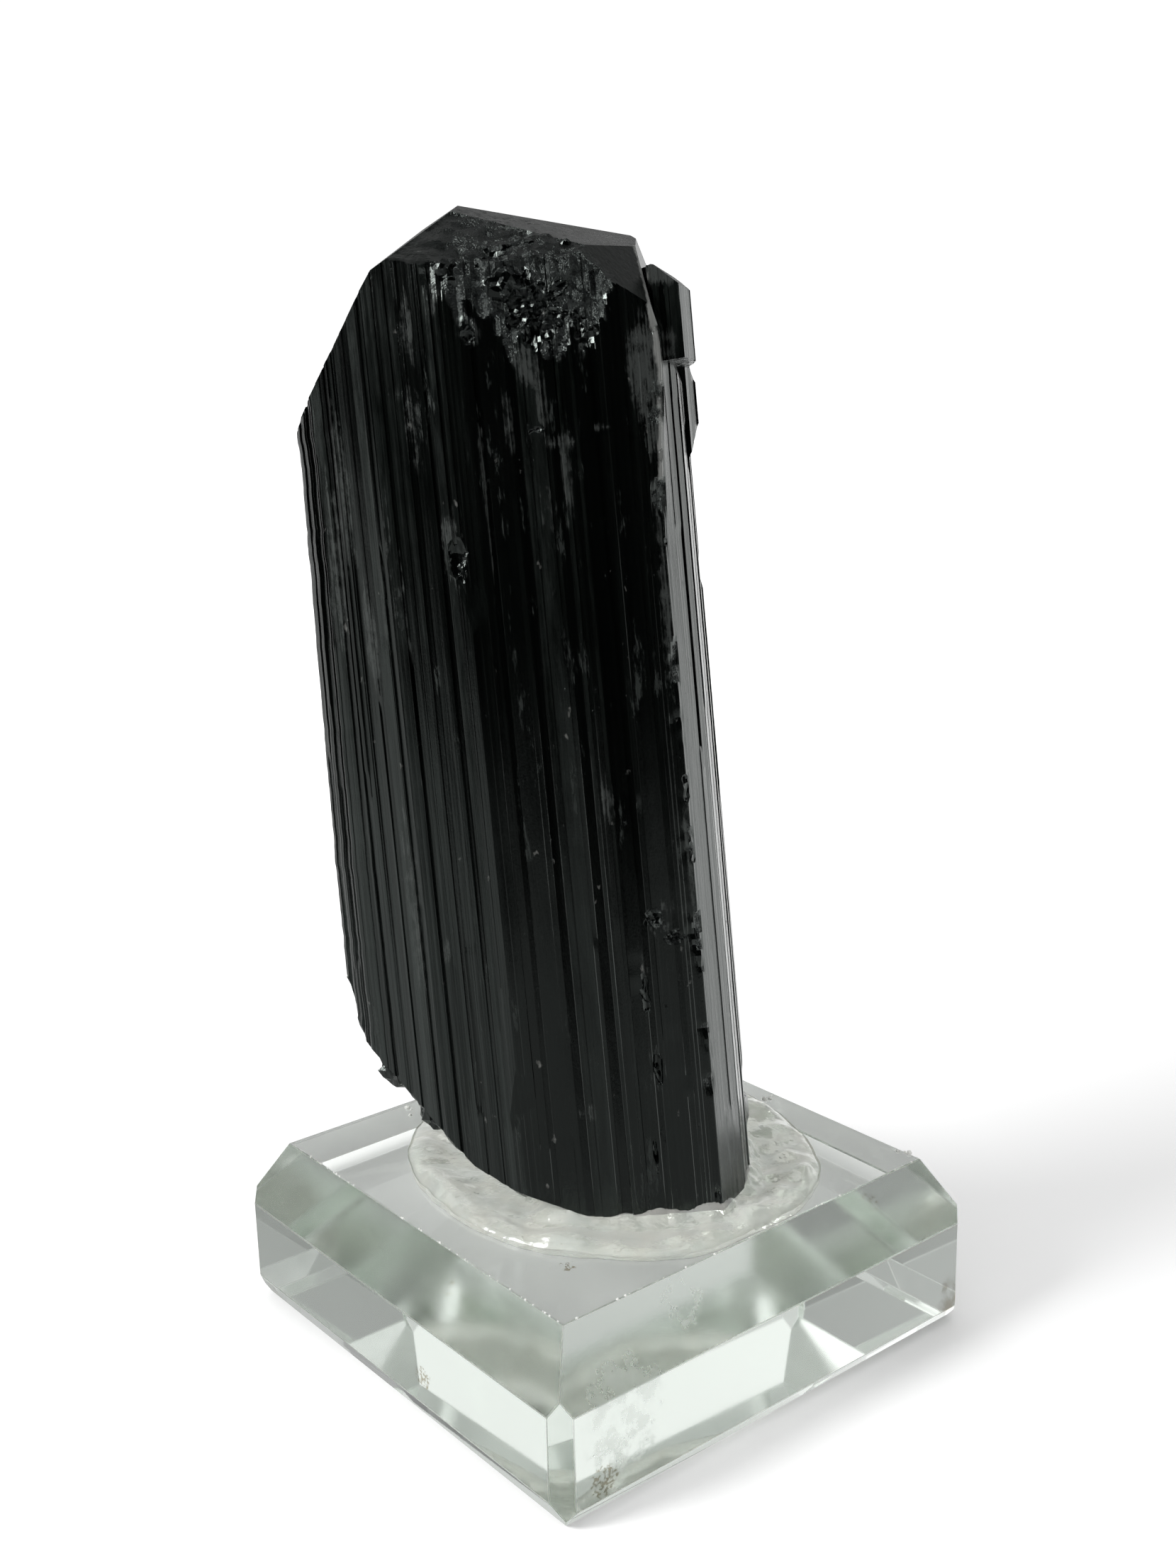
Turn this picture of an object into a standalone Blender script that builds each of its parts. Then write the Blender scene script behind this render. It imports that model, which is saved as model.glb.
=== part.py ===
"""A black tourmaline crystal glued upright on a clear bevelled display block.

Metres, +Z up. The origin is the middle of the block's underside, X and Y run along its sides.
The crystal is modelled standing on its own axis, in millimetres: u runs across its broad front,
w runs from that front to its back and s runs up the axis. It is then leaned and set on the block.
"""

import math
import random

import bmesh
import bpy
from mathutils import Matrix, Vector, noise

MM = 0.001
GAP = 0.3  # mm kept between pieces that touch

# Block (mm)
BASE_SIDE = 50.8
BASE_THICK = 16.8
TOP_BEVEL_IN = 3.4
TOP_BEVEL_DOWN = 6.2
CORNER_CUT = 1.57
# One row for each side of the block: direction of the side, then bevel width and height under it
FOOT_BEVELS = (
    (270, 1.4, 2.6),
    (0, 1.2, 1.7),
    (90, 1.3, 2.0),
    (180, 1.2, 2.2),
)

# Crystal placement
CRYSTAL_FOOT = (1.8, -3.4, BASE_THICK)  # where the axis meets the block's top (mm)
CRYSTAL_TURN = 51.0  # degrees from the block's X side to the crystal's broad front
LEAN_LEFT = 4.0
LEAN_BACK = 8.0
FOOT_LIFT = 1.3  # height of the crystal's flat foot above the block's top (mm)

# Crystal section: corners of the prism, anticlockwise from the sharp front right ridge (u, w in mm)
SECTION = (
    (12.6, -11.4),
    (14.9, -7.3),
    (15.8, -3.2),
    (16.0, 2.2),
    (13.6, 7.6),
    (6.6, 11.9),
    (-3.4, 13.2),
    (-12.6, 10.2),
    (-18.9, 4.2),
    (-19.7, -0.6),
    (-17.4, -5.2),
    (-11.6, -9.7),
    (-4.8, -11.9),
    (5.2, -12.2),
)
CRYSTAL_LOW = -6.0  # lower end of the prism along its axis and its length, before the ends are cut
CRYSTAL_LENGTH = 102.0
STRIA_PITCH = 0.85
STRIA_DEPTH = 0.32
STRIA_TURNS = 4  # lengths along the axis between which the grooves wander
STRIA_SEED = 41
STRIA_SHIFT = 0.28  # sideways scatter of the grooves, as a share of their pitch
STRIA_WANDER = 0.35  # how much a groove's depth changes along the axis
GROOVE_SHARE = (0.5, 1.0)  # depths of grooves and of the ridges between them, as shares of STRIA_DEPTH
RIDGE_SHARE = (-0.15, 0.3)
APEX = (-3.0, 0.0, 90.5)  # where the three low end faces meet (u, w, s)

# End faces: azimuth that each one falls towards (0 along u, 90 along w), its steepness and a point on it
END_FACES = (
    (-52.0, 23.3, APEX),
    (-156.0, 31.5, APEX),
    (56.6, 25.6, APEX),
    (182.0, 54.0, (-11.1, -9.9, 82.9)),
    (-86.0, 37.5, (7.7, -9.4, 84.5)),
    (-50.0, 51.0, (7.7, -9.9, 84.3)),
    (5.0, 62.0, (12.3, 0.0, 86.5)),
    (112.0, 50.0, (-5.0, 10.5, 84.0)),
    (-8.0, 76.4, (13.4, -11.4, 77.3)),
)

# Broken foot: azimuth that each break faces, its steepness from level and a point on it
FOOT_BREAKS = (
    (191.0, 53.0, (-11.0, -9.9, 6.6)),
    (171.0, 32.0, (-8.3, -10.8, 3.9)),
    (176.0, 24.0, (-3.4, -11.9, 1.3)),
    (185.0, 78.0, (-19.6, -1.0, 17.5)),
    (75.0, 32.0, (4.0, 9.5, 1.0)),
)

BLUNT_SLOPE = 14.0  # steepness of the inner half of a side crystal's ends
SIDE_SPARE = 8.0  # length past each end of a side crystal, before the ends are cut
SIDE_CORNERS = 6
SIDE_TURN = 12  # degrees from u to the first corner of a side crystal's section
# Parallel side crystals grown into the main one: section centre and size (or its corners) (u, w), foot
# and top (s), azimuth that the ends face and steepness of the ends, and of the foot where that differs
SIDE_CRYSTALS = {
    "upper right": {
        "corners": ((13.4, -9.9), (15.6, -10.3), (16.8, -7.4), (16.5, -2.5), (12.6, -1.5), (12.9, -6.5)),
        "ends": (74.0, 82.1), "facing": -15, "slope": 42, "foot slope": 3,
    },
    "second right": {
        "at": (15.0, -1.0), "size": (3.9, 6.0), "ends": (65.5, 76.5), "facing": 10, "slope": 62, "turn": 0
    },
    "left sliver": {"at": (-18.8, 1.6), "size": (2.1, 4.4), "ends": (55.0, 74.0), "facing": 185, "slope": 62},
    "right rib": {"at": (15.5, 0.6), "size": (1.5, 2.4), "ends": (5.5, 58.0), "facing": 0, "slope": 80},
    "right foot lump": {"at": (15.0, 0.4), "size": (2.8, 5.0), "ends": (2.4, 6.6), "facing": 0, "slope": 40},
    "back rib": {"at": (1.5, 12.7), "size": (6.6, 2.6), "ends": (14.0, 72.0), "facing": 95, "slope": 76},
    "left rib": {"at": (-15.1, 7.7), "size": (4.2, 3.0), "ends": (30.0, 66.0), "facing": 130, "slope": 76},
    "front rib": {"at": (-4.2, -11.7), "size": (3.0, 1.3), "ends": (8.0, 58.0), "facing": -90, "slope": 84},
}

LUMP_GRAIN = 1.1  # how closely a lump's bumps follow each other, and how far they stand out
LUMP_ROUGHNESS = 0.38
# Rounded breaks: centre (u, w, s) and radii of the lumps left standing and of the hollows
TOP_LUMPS = (
    ((-1.8, -9.9, 83.2), (1.7, 1.2, 1.3)),
    ((0.6, -9.2, 84.0), (1.4, 1.1, 1.2)),
    ((2.9, -8.9, 84.2), (1.5, 1.0, 1.1)),
    ((0.8, -11.0, 81.6), (1.6, 1.1, 1.5)),
    ((-3.9, -10.8, 82.6), (1.2, 0.9, 1.6)),
    ((6.3, -8.6, 83.8), (1.1, 0.9, 1.2)),
)
FOOT_LUMPS = (
    ((-15.2, -3.6, 12.6), (2.4, 2.0, 2.0)),
    ((-12.0, -5.6, 8.8), (2.2, 2.0, 1.9)),
    ((-15.6, 1.4, 11.6), (2.4, 2.2, 2.0)),
    ((-10.2, 0.4, 5.8), (2.6, 2.4, 1.7)),
    ((-12.4, 5.2, 6.6), (2.2, 1.8, 1.8)),
    ((-6.2, -5.0, 3.0), (2.2, 2.0, 1.2)),
)
HOLLOWS = (
    ((3.6, -13.4, 79.4), (3.3, 2.6, 3.6)),
    ((7.2, -13.1, 78.2), (2.2, 1.7, 2.2)),
    ((-2.5, -12.6, 77.4), (0.9, 0.9, 1.1)),
    ((-5.4, -12.2, 58.7), (1.1, 0.7, 1.9)),
    ((2.5, -12.8, 69.0), (1.3, 0.8, 0.7)),
    ((8.6, -12.4, 26.0), (1.3, 0.8, 1.2)),
    ((10.6, -12.1, 24.2), (1.1, 0.8, 0.9)),
    ((7.4, -12.35, 19.6), (0.6, 0.7, 2.0)),
    ((7.9, -12.35, 13.0), (0.5, 0.7, 2.2)),
    ((7.0, -12.45, 4.6), (0.3, 0.7, 2.8)),
    ((12.9, -11.9, 31.4), (0.7, 0.8, 1.2)),
    ((12.9, -11.9, 37.2), (0.8, 0.8, 1.8)),
    ((12.9, -12.0, 47.4), (0.6, 0.7, 1.6)),
    ((12.9, -12.0, 58.6), (0.6, 0.8, 1.3)),
    ((13.1, -11.9, 66.2), (0.7, 0.7, 1.1)),
    ((16.2, -5.0, 24.4), (0.7, 1.0, 2.0)),
)

# Glue puddle (mm above the block's top, and inwards from its rim)
GLUE_RADIUS = 19.9
GLUE_ONCE = (0.7, -10.0)  # the rim's swing once and twice round: amount (mm) and degrees from X
GLUE_TWICE = (1.3, 0.0)
GLUE_MARGIN = 0.25  # kept free inside the block's upper edge
GLUE_SWELL = 0.16  # share of the height by which it wanders
GLUE_SIDES = 64
GLUE_CENTRE = (0.6, 0.4)
GLUE_PROFILE = (
    (0.0, 0.3),
    (0.1, 0.65),
    (0.8, 1.05),
    (1.7, 1.2),
    (2.7, 1.0),
    (3.6, 0.75),
    (6.0, 0.7),
)
COLLAR_OUT = 1.5  # how far the glue climbing the crystal reaches outside its section
COLLAR_TAPER = 1.0  # how much wider than that it is at its foot, and narrower at its top
COLLAR_FOOT = 0.45  # its lower and upper level above the block's top
COLLAR_TOP = 1.9
COLLAR_SPAN = (-2.0, 5.0)  # lengths along the crystal's axis that the collar and the socket take up
SOCKET_SPAN = (-6.0, 30.0)
STRIA_ROOM = 0.1  # room in the socket for the ridges that stand out of the crystal's section
COLLAR_LEFT = -5.0  # the glue climbs nothing to the left of this u, where the foot is broken off


def clear_scene():
    for item in list(bpy.data.objects):
        bpy.data.objects.remove(item, do_unlink=True)


def principled(name, colour, roughness, transmission=0.0, ior=1.5):
    material = bpy.data.materials.new(name)
    material.use_nodes = True
    shader = material.node_tree.nodes["Principled BSDF"]
    shader.inputs["Base Color"].default_value = (*colour, 1.0)
    shader.inputs["Roughness"].default_value = roughness
    shader.inputs["Transmission Weight"].default_value = transmission
    shader.inputs["IOR"].default_value = ior
    return material


def add_object(name, bm, material=None):
    bmesh.ops.recalc_face_normals(bm, faces=bm.faces)
    mesh = bpy.data.meshes.new(name)
    bm.to_mesh(mesh)
    bm.free()
    item = bpy.data.objects.new(name, mesh)
    bpy.context.scene.collection.objects.link(item)
    if material:
        mesh.materials.append(material)
    return item


def add_guide(name, bm):
    guide = add_object(name, bm)
    guide.hide_render = True
    guide.display_type = "WIRE"
    return guide


def boolean(item, other, operation, crossing=False):
    """Joins or cuts with the exact solver. Crossing is for a guide whose own blocks may overlap."""
    step = item.modifiers.new(f"{operation.lower()} {other.name}", "BOOLEAN")
    step.operation = operation
    step.object = other
    step.solver = "EXACT"
    step.use_self = crossing


def slope_normal(azimuth, steepness):
    """The outward normal of a face that falls towards azimuth, steepness degrees from level."""
    a = math.radians(azimuth)
    t = math.radians(steepness)
    return Vector((math.sin(t) * math.cos(a), math.sin(t) * math.sin(a), math.cos(t)))


def cut_away(bm, point, normal):
    """Cuts everything on the normal's side of a plane and closes the cut with one flat face."""
    geometry = bm.verts[:] + bm.edges[:] + bm.faces[:]
    cut = bmesh.ops.bisect_plane(
        bm, geom=geometry, dist=1e-7, plane_co=point, plane_no=normal, clear_outer=True
    )
    edges = [e for e in cut["geom_cut"] if isinstance(e, bmesh.types.BMEdge) and e.is_boundary]
    if edges:
        bmesh.ops.holes_fill(bm, edges=edges, sides=0)


def prism(outlines, levels):
    """A closed prism with a copy of each outline at each level: flat ends, one strip a level."""
    bm = bmesh.new()
    rings = []
    for outline, level in zip(outlines, levels):
        rings.append([bm.verts.new((u * MM, w * MM, level * MM)) for u, w in outline])
    for lower, upper in zip(rings, rings[1:]):
        edges = []
        for ring in (lower, upper):
            for a, b in zip(ring, ring[1:] + ring[:1]):
                edges.append(bm.edges.get((a, b)) or bm.edges.new((a, b)))
        bmesh.ops.bridge_loops(bm, edges=edges)
    bm.faces.new(reversed(rings[0]))
    bm.faces.new(rings[-1])
    return bm


def striated(corners, pitch, depth, seed, wander=0.0):
    """The outline through the corners with a groove or ridge every pitch along each side."""
    dice = random.Random(seed)
    drift = random.Random(seed + 1000 * wander)
    outline = []
    for a, b in zip(corners, corners[1:] + corners[:1]):
        a, b = Vector(a), Vector(b)
        along = (b - a).normalized()
        outward = Vector((along.y, -along.x))
        count = max(2, 2 * round((b - a).length / pitch / 2))
        outline.append(a)
        for step in range(1, count):
            shift = dice.uniform(-STRIA_SHIFT, STRIA_SHIFT) / count
            inward = depth * (dice.uniform(*GROOVE_SHARE) if step % 2 else dice.uniform(*RIDGE_SHARE))
            inward *= 1.0 + STRIA_WANDER * drift.uniform(-1, 1) * bool(wander)
            outline.append(a + (b - a) * (step / count + shift) - outward * inward)
    return [tuple(point) for point in outline]


def grown(corners, out):
    """The same section grown outwards by out, corner by corner."""
    result = []
    total = len(corners)
    for i, corner in enumerate(corners):
        before = Vector(corners[i - 1])
        here = Vector(corner)
        after = Vector(corners[(i + 1) % total])
        n1 = Vector(((here - before).y, -(here - before).x)).normalized()
        n2 = Vector(((after - here).y, -(after - here).x)).normalized()
        mitre = (n1 + n2).normalized()
        result.append(tuple(here + mitre * out / max(0.5, mitre.dot(n1))))
    return result


def crystal_place():
    """Where the crystal stands: turned on the block, leaned left and back from its broad front."""
    axis = Vector((-math.tan(math.radians(LEAN_LEFT)), math.tan(math.radians(LEAN_BACK)), 1.0))
    lean = Vector((0, 0, 1)).rotation_difference(axis.normalized()).to_matrix().to_4x4()
    turn = Matrix.Rotation(math.radians(CRYSTAL_TURN), 4, "Z")
    return Matrix.Translation(Vector(CRYSTAL_FOOT) * MM) @ turn @ lean


def cut_foot(bm, drop):
    """The broken underside: one flat that stands level on the block and the breaks that rise from it."""
    level = crystal_place().inverted()
    down = (level.to_3x3() @ Vector((0, 0, -1))).normalized()
    flat = Vector(CRYSTAL_FOOT) * MM + Vector((0, 0, (FOOT_LIFT - drop) * MM))
    cut_away(bm, level @ flat, down)
    for azimuth, steepness, point in FOOT_BREAKS:
        normal = slope_normal(azimuth, steepness)
        normal.z = -normal.z
        cut_away(bm, Vector(point) * MM + normal * drop * MM, normal)


def cut_ends(bm):
    for azimuth, steepness, point in END_FACES:
        cut_away(bm, Vector(point) * MM, slope_normal(azimuth, steepness))


def broken_lumps(name, rows, seed):
    """One rough faceted lump a row, as a guide to add or to cut with."""
    bm = bmesh.new()
    for i, (centre, radii) in enumerate(rows):
        place = Matrix.Translation(Vector(centre) * MM) @ Matrix.Diagonal((*[r * MM for r in radii], 1))
        made = bmesh.ops.create_icosphere(bm, subdivisions=2, radius=1.0, matrix=place)
        middle = Vector(centre) * MM
        for vert in made["verts"]:
            off = vert.co - middle
            rough = noise.noise(Vector((seed, i, 0)) + off / MM * LUMP_GRAIN)
            vert.co = middle + off * (1.0 + LUMP_ROUGHNESS * rough)
    return add_guide(name, bm)


def ring_corners(spec):
    """Corners of a six-sided section of the given size."""
    u, w = spec["at"]
    across, deep = spec["size"]
    corners = []
    for i in range(SIDE_CORNERS):
        a = math.radians(spec.get("turn", SIDE_TURN)) + 2 * math.pi * i / SIDE_CORNERS
        corners.append((u + across / 2 * math.cos(a), w + deep / 2 * math.sin(a)))
    return corners


def side_crystal(name, spec):
    """A slim six-sided prism up the main crystal. Its ends are blunt next to it and slope away outside."""
    low, high = spec["ends"]
    corners = spec.get("corners") or ring_corners(spec)
    u, w = sum((Vector(corner) for corner in corners), Vector((0, 0))) / len(corners)
    outline = striated(corners, STRIA_PITCH, STRIA_DEPTH / 2, len(name))
    bm = prism([outline, outline], [low - SIDE_SPARE, high + SIDE_SPARE])
    foot_slope = spec.get("foot slope", spec["slope"])
    for slope in (BLUNT_SLOPE, spec["slope"]):
        cut_away(bm, Vector((u, w, high)) * MM, slope_normal(spec["facing"], slope))
    for slope in (min(BLUNT_SLOPE, foot_slope), foot_slope):
        under = slope_normal(spec["facing"], slope)
        under.z = -under.z
        cut_away(bm, Vector((u, w, low)) * MM, under)
    return add_guide(f"side crystal {name}", bm)


def build_crystal(material):
    outlines = []
    levels = []
    for turn in range(STRIA_TURNS + 1):
        outlines.append(striated(SECTION, STRIA_PITCH, STRIA_DEPTH, STRIA_SEED, wander=turn + 1))
        levels.append(CRYSTAL_LOW + CRYSTAL_LENGTH * turn / STRIA_TURNS)
    bm = prism(outlines, levels)
    cut_ends(bm)
    cut_foot(bm, 0.0)
    crystal = add_object("crystal", bm, material)

    guides = [side_crystal(name, spec) for name, spec in SIDE_CRYSTALS.items()]
    for guide in guides:
        boolean(crystal, guide, "UNION")
    for name, rows, seed, operation in (
        ("top lumps", TOP_LUMPS, 3, "UNION"),
        ("foot lumps", FOOT_LUMPS, 5, "UNION"),
        ("hollows", HOLLOWS, 7, "DIFFERENCE"),
    ):
        guides.append(broken_lumps(name, rows, seed))
        boolean(crystal, guides[-1], operation, crossing=True)

    for item in [crystal] + guides:
        item.matrix_world = crystal_place()
    return crystal


def build_base(material):
    bm = bmesh.new()
    bmesh.ops.create_cube(bm, size=1.0)
    bmesh.ops.scale(bm, vec=Vector((BASE_SIDE, BASE_SIDE, BASE_THICK)) * MM, verts=bm.verts)
    bmesh.ops.translate(bm, vec=(0, 0, BASE_THICK / 2 * MM), verts=bm.verts)
    upright = [e for e in bm.edges if abs(e.verts[0].co.z - e.verts[1].co.z) > BASE_THICK / 2 * MM]
    bmesh.ops.bevel(bm, geom=upright, offset=CORNER_CUT * MM, segments=1, affect="EDGES", profile=0.5)
    half = BASE_SIDE / 2
    steep = math.degrees(math.atan2(TOP_BEVEL_DOWN, TOP_BEVEL_IN))
    for azimuth, inset, height in FOOT_BEVELS:
        side = Vector((math.cos(math.radians(azimuth)), math.sin(math.radians(azimuth)), 0))
        top_edge = side * (half - TOP_BEVEL_IN) + Vector((0, 0, BASE_THICK))
        cut_away(bm, top_edge * MM, slope_normal(azimuth, steep))
        lower = slope_normal(azimuth, math.degrees(math.atan2(height, inset)))
        lower.z = -lower.z
        cut_away(bm, side * (half - inset) * MM, lower)
    return add_object("base", bm, material)


def glue_radius(angle):
    """The puddle is drawn out along X and stops inside the block's upper edge."""
    swing = 0.0
    for turns, (amount, start) in enumerate((GLUE_ONCE, GLUE_TWICE), 1):
        swing += amount * math.cos(turns * angle - math.radians(start))
    edge = BASE_SIDE / 2 - TOP_BEVEL_IN - GLUE_MARGIN
    room = edge / max(abs(math.cos(angle)), abs(math.sin(angle))) - max(GLUE_CENTRE)
    return min(GLUE_RADIUS + swing, room)


def build_glue(material):
    bm = bmesh.new()
    rings = []
    level_rings = (GLUE_PROFILE[0][0], GLUE_PROFILE[-1][0])
    for inwards, height in GLUE_PROFILE:
        ring = []
        for i in range(GLUE_SIDES):
            angle = 2 * math.pi * i / GLUE_SIDES
            reach = glue_radius(angle) - inwards
            swell = noise.noise(Vector((3 * math.cos(angle), 3 * math.sin(angle), 4.0)))
            lift = 1.0 if inwards in level_rings else 1.0 + GLUE_SWELL * swell
            z = BASE_THICK + height * lift
            x = GLUE_CENTRE[0] + reach * math.cos(angle)
            y = GLUE_CENTRE[1] + reach * math.sin(angle)
            ring.append(bm.verts.new((x * MM, y * MM, z * MM)))
        rings.append(ring)
    for lower, upper in zip(rings, rings[1:]):
        for i in range(GLUE_SIDES):
            j = (i + 1) % GLUE_SIDES
            bm.faces.new((lower[i], lower[j], upper[j], upper[i]))
    bm.faces.new(reversed(rings[0]))
    bm.faces.new(rings[-1])
    glue = add_object("glue", bm, material)

    wide = grown(SECTION, COLLAR_OUT + COLLAR_TAPER)
    narrow = grown(SECTION, COLLAR_OUT - COLLAR_TAPER)
    collar = prism([wide, narrow], COLLAR_SPAN)
    cut_away(collar, Vector((COLLAR_LEFT, 0, 0)) * MM, Vector((-1, 0, 0)))
    place = crystal_place()
    bmesh.ops.transform(collar, matrix=place, verts=collar.verts)
    cut_away(collar, Vector((0, 0, BASE_THICK + COLLAR_TOP)) * MM, Vector((0, 0, 1)))
    cut_away(collar, Vector((0, 0, BASE_THICK + COLLAR_FOOT)) * MM, Vector((0, 0, -1)))
    boolean(glue, add_guide("glue collar", collar), "UNION")

    room = GAP + STRIA_ROOM
    socket = prism([grown(SECTION, room), grown(SECTION, room)], SOCKET_SPAN)
    cut_foot(socket, room)
    bmesh.ops.transform(socket, matrix=place, verts=socket.verts)
    boolean(glue, add_guide("crystal socket", socket), "DIFFERENCE")
    return glue


def main():
    clear_scene()
    black = principled("tourmaline", (0.012, 0.013, 0.014), 0.34)
    clear = principled("clear_block", (0.90, 0.93, 0.90), 0.04, transmission=1.0, ior=1.5)
    milky = principled("mount_glue", (0.86, 0.85, 0.80), 0.25, transmission=0.5, ior=1.48)
    build_crystal(black)
    build_base(clear)
    build_glue(milky)


main()
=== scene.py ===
import random
from math import atan2, cos, degrees, exp, hypot, pi, radians, sin, tan

import bmesh
import bpy
from mathutils import Matrix, Vector, noise


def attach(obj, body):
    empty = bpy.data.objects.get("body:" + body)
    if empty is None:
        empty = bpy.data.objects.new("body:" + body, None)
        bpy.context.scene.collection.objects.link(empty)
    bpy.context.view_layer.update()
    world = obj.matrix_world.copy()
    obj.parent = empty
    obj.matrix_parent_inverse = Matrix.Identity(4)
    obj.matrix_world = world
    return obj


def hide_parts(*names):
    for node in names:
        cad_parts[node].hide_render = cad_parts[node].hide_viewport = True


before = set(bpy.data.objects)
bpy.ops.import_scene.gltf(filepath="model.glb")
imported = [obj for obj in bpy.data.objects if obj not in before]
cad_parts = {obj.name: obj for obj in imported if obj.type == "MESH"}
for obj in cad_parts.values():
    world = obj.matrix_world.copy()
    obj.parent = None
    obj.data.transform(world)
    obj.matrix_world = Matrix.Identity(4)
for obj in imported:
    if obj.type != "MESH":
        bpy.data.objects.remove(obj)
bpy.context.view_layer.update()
mm = 0.001
blockTop = 16.8  # height of the block, mm


def newMesh(name, bm):
    mesh = bpy.data.meshes.new(name)
    bm.to_mesh(mesh)
    bm.free()
    return mesh


def newItem(name, data):
    item = bpy.data.objects.new(name, data)
    bpy.context.scene.collection.objects.link(item)
    return item


camera = {
    "place": (0.12355, -0.10013, 0.09631),
    "right": (0.6286, 0.7777, 0.0),
    "ahead": (-0.7777, 0.6286, 0.0),
    "pitch": 14.87,
    "roll": 1.36,
    "lens": 40.67,
}


def cameraAxes():
    right, ahead, up = Vector(camera["right"]), Vector(camera["ahead"]), Vector((0, 0, 1))
    pitch, roll = radians(camera["pitch"]), radians(camera["roll"])
    forward = ahead * cos(pitch) - up * sin(pitch)
    over = ahead * sin(pitch) + up * cos(pitch)
    across = right * cos(roll) - over * sin(roll)
    over = right * sin(roll) + over * cos(roll)
    return across, over, -forward


def makeCamera():
    data = bpy.data.cameras.new("camera")
    data.lens = camera["lens"]
    data.sensor_width = 36
    data.clip_start = 0.001
    item = newItem("camera", data)
    turn = Matrix(cameraAxes()).transposed().to_4x4()
    turn.translation = Vector(camera["place"])
    item.matrix_world = turn
    bpy.context.scene.camera = item


studio = {
    "skyStrength": 0.93,  # what lights the table and the matt surfaces
    "seenSky": 1.05,
    "wallTone": 0.36,  # the room near the horizon, in reflections
    "windowAzimuth": 176.0,  # the bright part of the room behind and to the right (0 looks along +Y)
    "windowHalf": (20.0, 78.0),
    "windowTone": 1.25,
    "ceilingTone": 0.24,
    "ceilingFrom": (0.10, 0.36),
    "zenithFade": (0.70, 0.92, 1.0, 0.45),
    "darkAzimuth": 46.0,  # the unlit side of the room, in reflections
    "darkHalf": (80.0, 128.0),  # fully dark within the first angle, fully lit past the second
    "darkTone": 0.005,
    "darkFrom": (-0.11, -0.03),
    "glassTone": 1.1,  # the room as seen through the block: behind it, and in front and beside it
    "glassDark": 0.40,
    "glassHalf": (96.0, 128.0),
    "glassCeiling": (0.34, 0.62),
    "glassCeilingTone": 0.5,
    "keyFrom": (-0.216, -0.666, 0.50),
    "keySize": 0.34,
    "keyPower": 6.0,
    "floorTone": 0.9,
    "floorReach": 3.0,
    # painted light and shade on the table as reflections see it: brightness towards the unlit side,
    # beside it and opposite, and the distances over which it fades towards the unlit side
    "floorShine": (0.27, 0.52, 1.5),
    "floorUnlit": (14.0, 52.0),
    "floorWindow": (30.0, 95.0),
    "floorFade": (0.35, 1.6, 1.0, 0.1),
    # painted light: the table glows when seen through the block, standing for light that passes through it
    "floorInGlass": 0.26,
    "floorGlow": (0.12, 0.30, 0.0, 0.35),  # painted light: the far table glows up to the white of the room
    # painted light: the table on the camera side glows a little, lifting the block's shade there
    "frontGlow": ((50.0, 85.0), 0.12),
    "floorDrop": 0.00008,
}


def addNode(tree, kind, settings=None, inputs=None):
    # settings are the node's own fields; inputs are values or links for its sockets, by name or number
    node = tree.nodes.new("ShaderNode" + kind)
    for key, value in (settings or {}).items():
        setattr(node, key, value)
    for key, value in (inputs or {}).items():
        if isinstance(value, bpy.types.NodeSocket):
            tree.links.new(value, node.inputs[key])
        else:
            node.inputs[key].default_value = value
    return node


def calc(tree, operation, *values):
    return addNode(tree, "Math", {"operation": operation}, dict(enumerate(values))).outputs[0]


def times(tree, product, *factors):
    for factor in factors:
        product = calc(tree, "MULTIPLY", product, factor)
    return product


def vector(tree, operation, *values):
    return addNode(tree, "VectorMath", {"operation": operation}, dict(enumerate(values)))


def span(tree, value, low, high, toLow=0.0, toHigh=1.0, kind="SMOOTHSTEP"):
    # a smooth ramp of the value from low to high
    ends = {"Value": value, "From Min": low, "From Max": high, "To Min": toLow, "To Max": toHigh}
    return addNode(tree, "MapRange", {"interpolation_type": kind}, ends).outputs[0]


def facing(tree, direction, azimuth, half):
    # 1 where a level direction lies within the first angle of the azimuth, 0 past the second
    level = vector(tree, "MULTIPLY", direction, (1, 1, 0)).outputs[0]
    unit = vector(tree, "NORMALIZE", level).outputs[0]
    turn = radians(azimuth)
    dot = vector(tree, "DOT_PRODUCT", unit, (sin(turn), -cos(turn), 0.0))
    inner, outer = [cos(radians(v)) for v in half]
    return span(tree, dot.outputs["Value"], outer, inner)


def lerp(tree, factor, a, b):
    return addNode(tree, "Mix", {"data_type": "FLOAT"}, {0: factor, 2: a, 3: b}).outputs[0]


def blend(tree, factor, a, b):
    # a and b are colours or links; the factor is a link
    a, b = [c if isinstance(c, bpy.types.NodeSocket) else (*c, 1) for c in (a, b)]
    return addNode(tree, "Mix", {"data_type": "RGBA"}, {0: factor, 6: a, 7: b}).outputs[2]


def noiseAt(tree, coords, stretch, detail=3.0, low=0.0, high=1.0, toLow=0.0, toHigh=1.0, roughness=0.5):
    # noise on stretched coordinates, remapped
    place = vector(tree, "MULTIPLY", coords, stretch).outputs[0]
    settings = {"Vector": place, "Scale": 1.0, "Detail": detail, "Roughness": roughness}
    field = addNode(tree, "TexNoise", None, settings).outputs["Fac"]
    return span(tree, field, low, high, toLow, toHigh, "LINEAR")


def attribute(tree, name):
    return addNode(tree, "Attribute", {"attribute_name": name}).outputs["Fac"]


def glow(tree, strength):
    return addNode(tree, "Emission", None, {"Color": (1, 1, 1, 1), "Strength": strength}).outputs[0]


def wire(tree, shader, values):
    for name, value in values.items():
        tree.links.new(value, shader.inputs[name])


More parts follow.
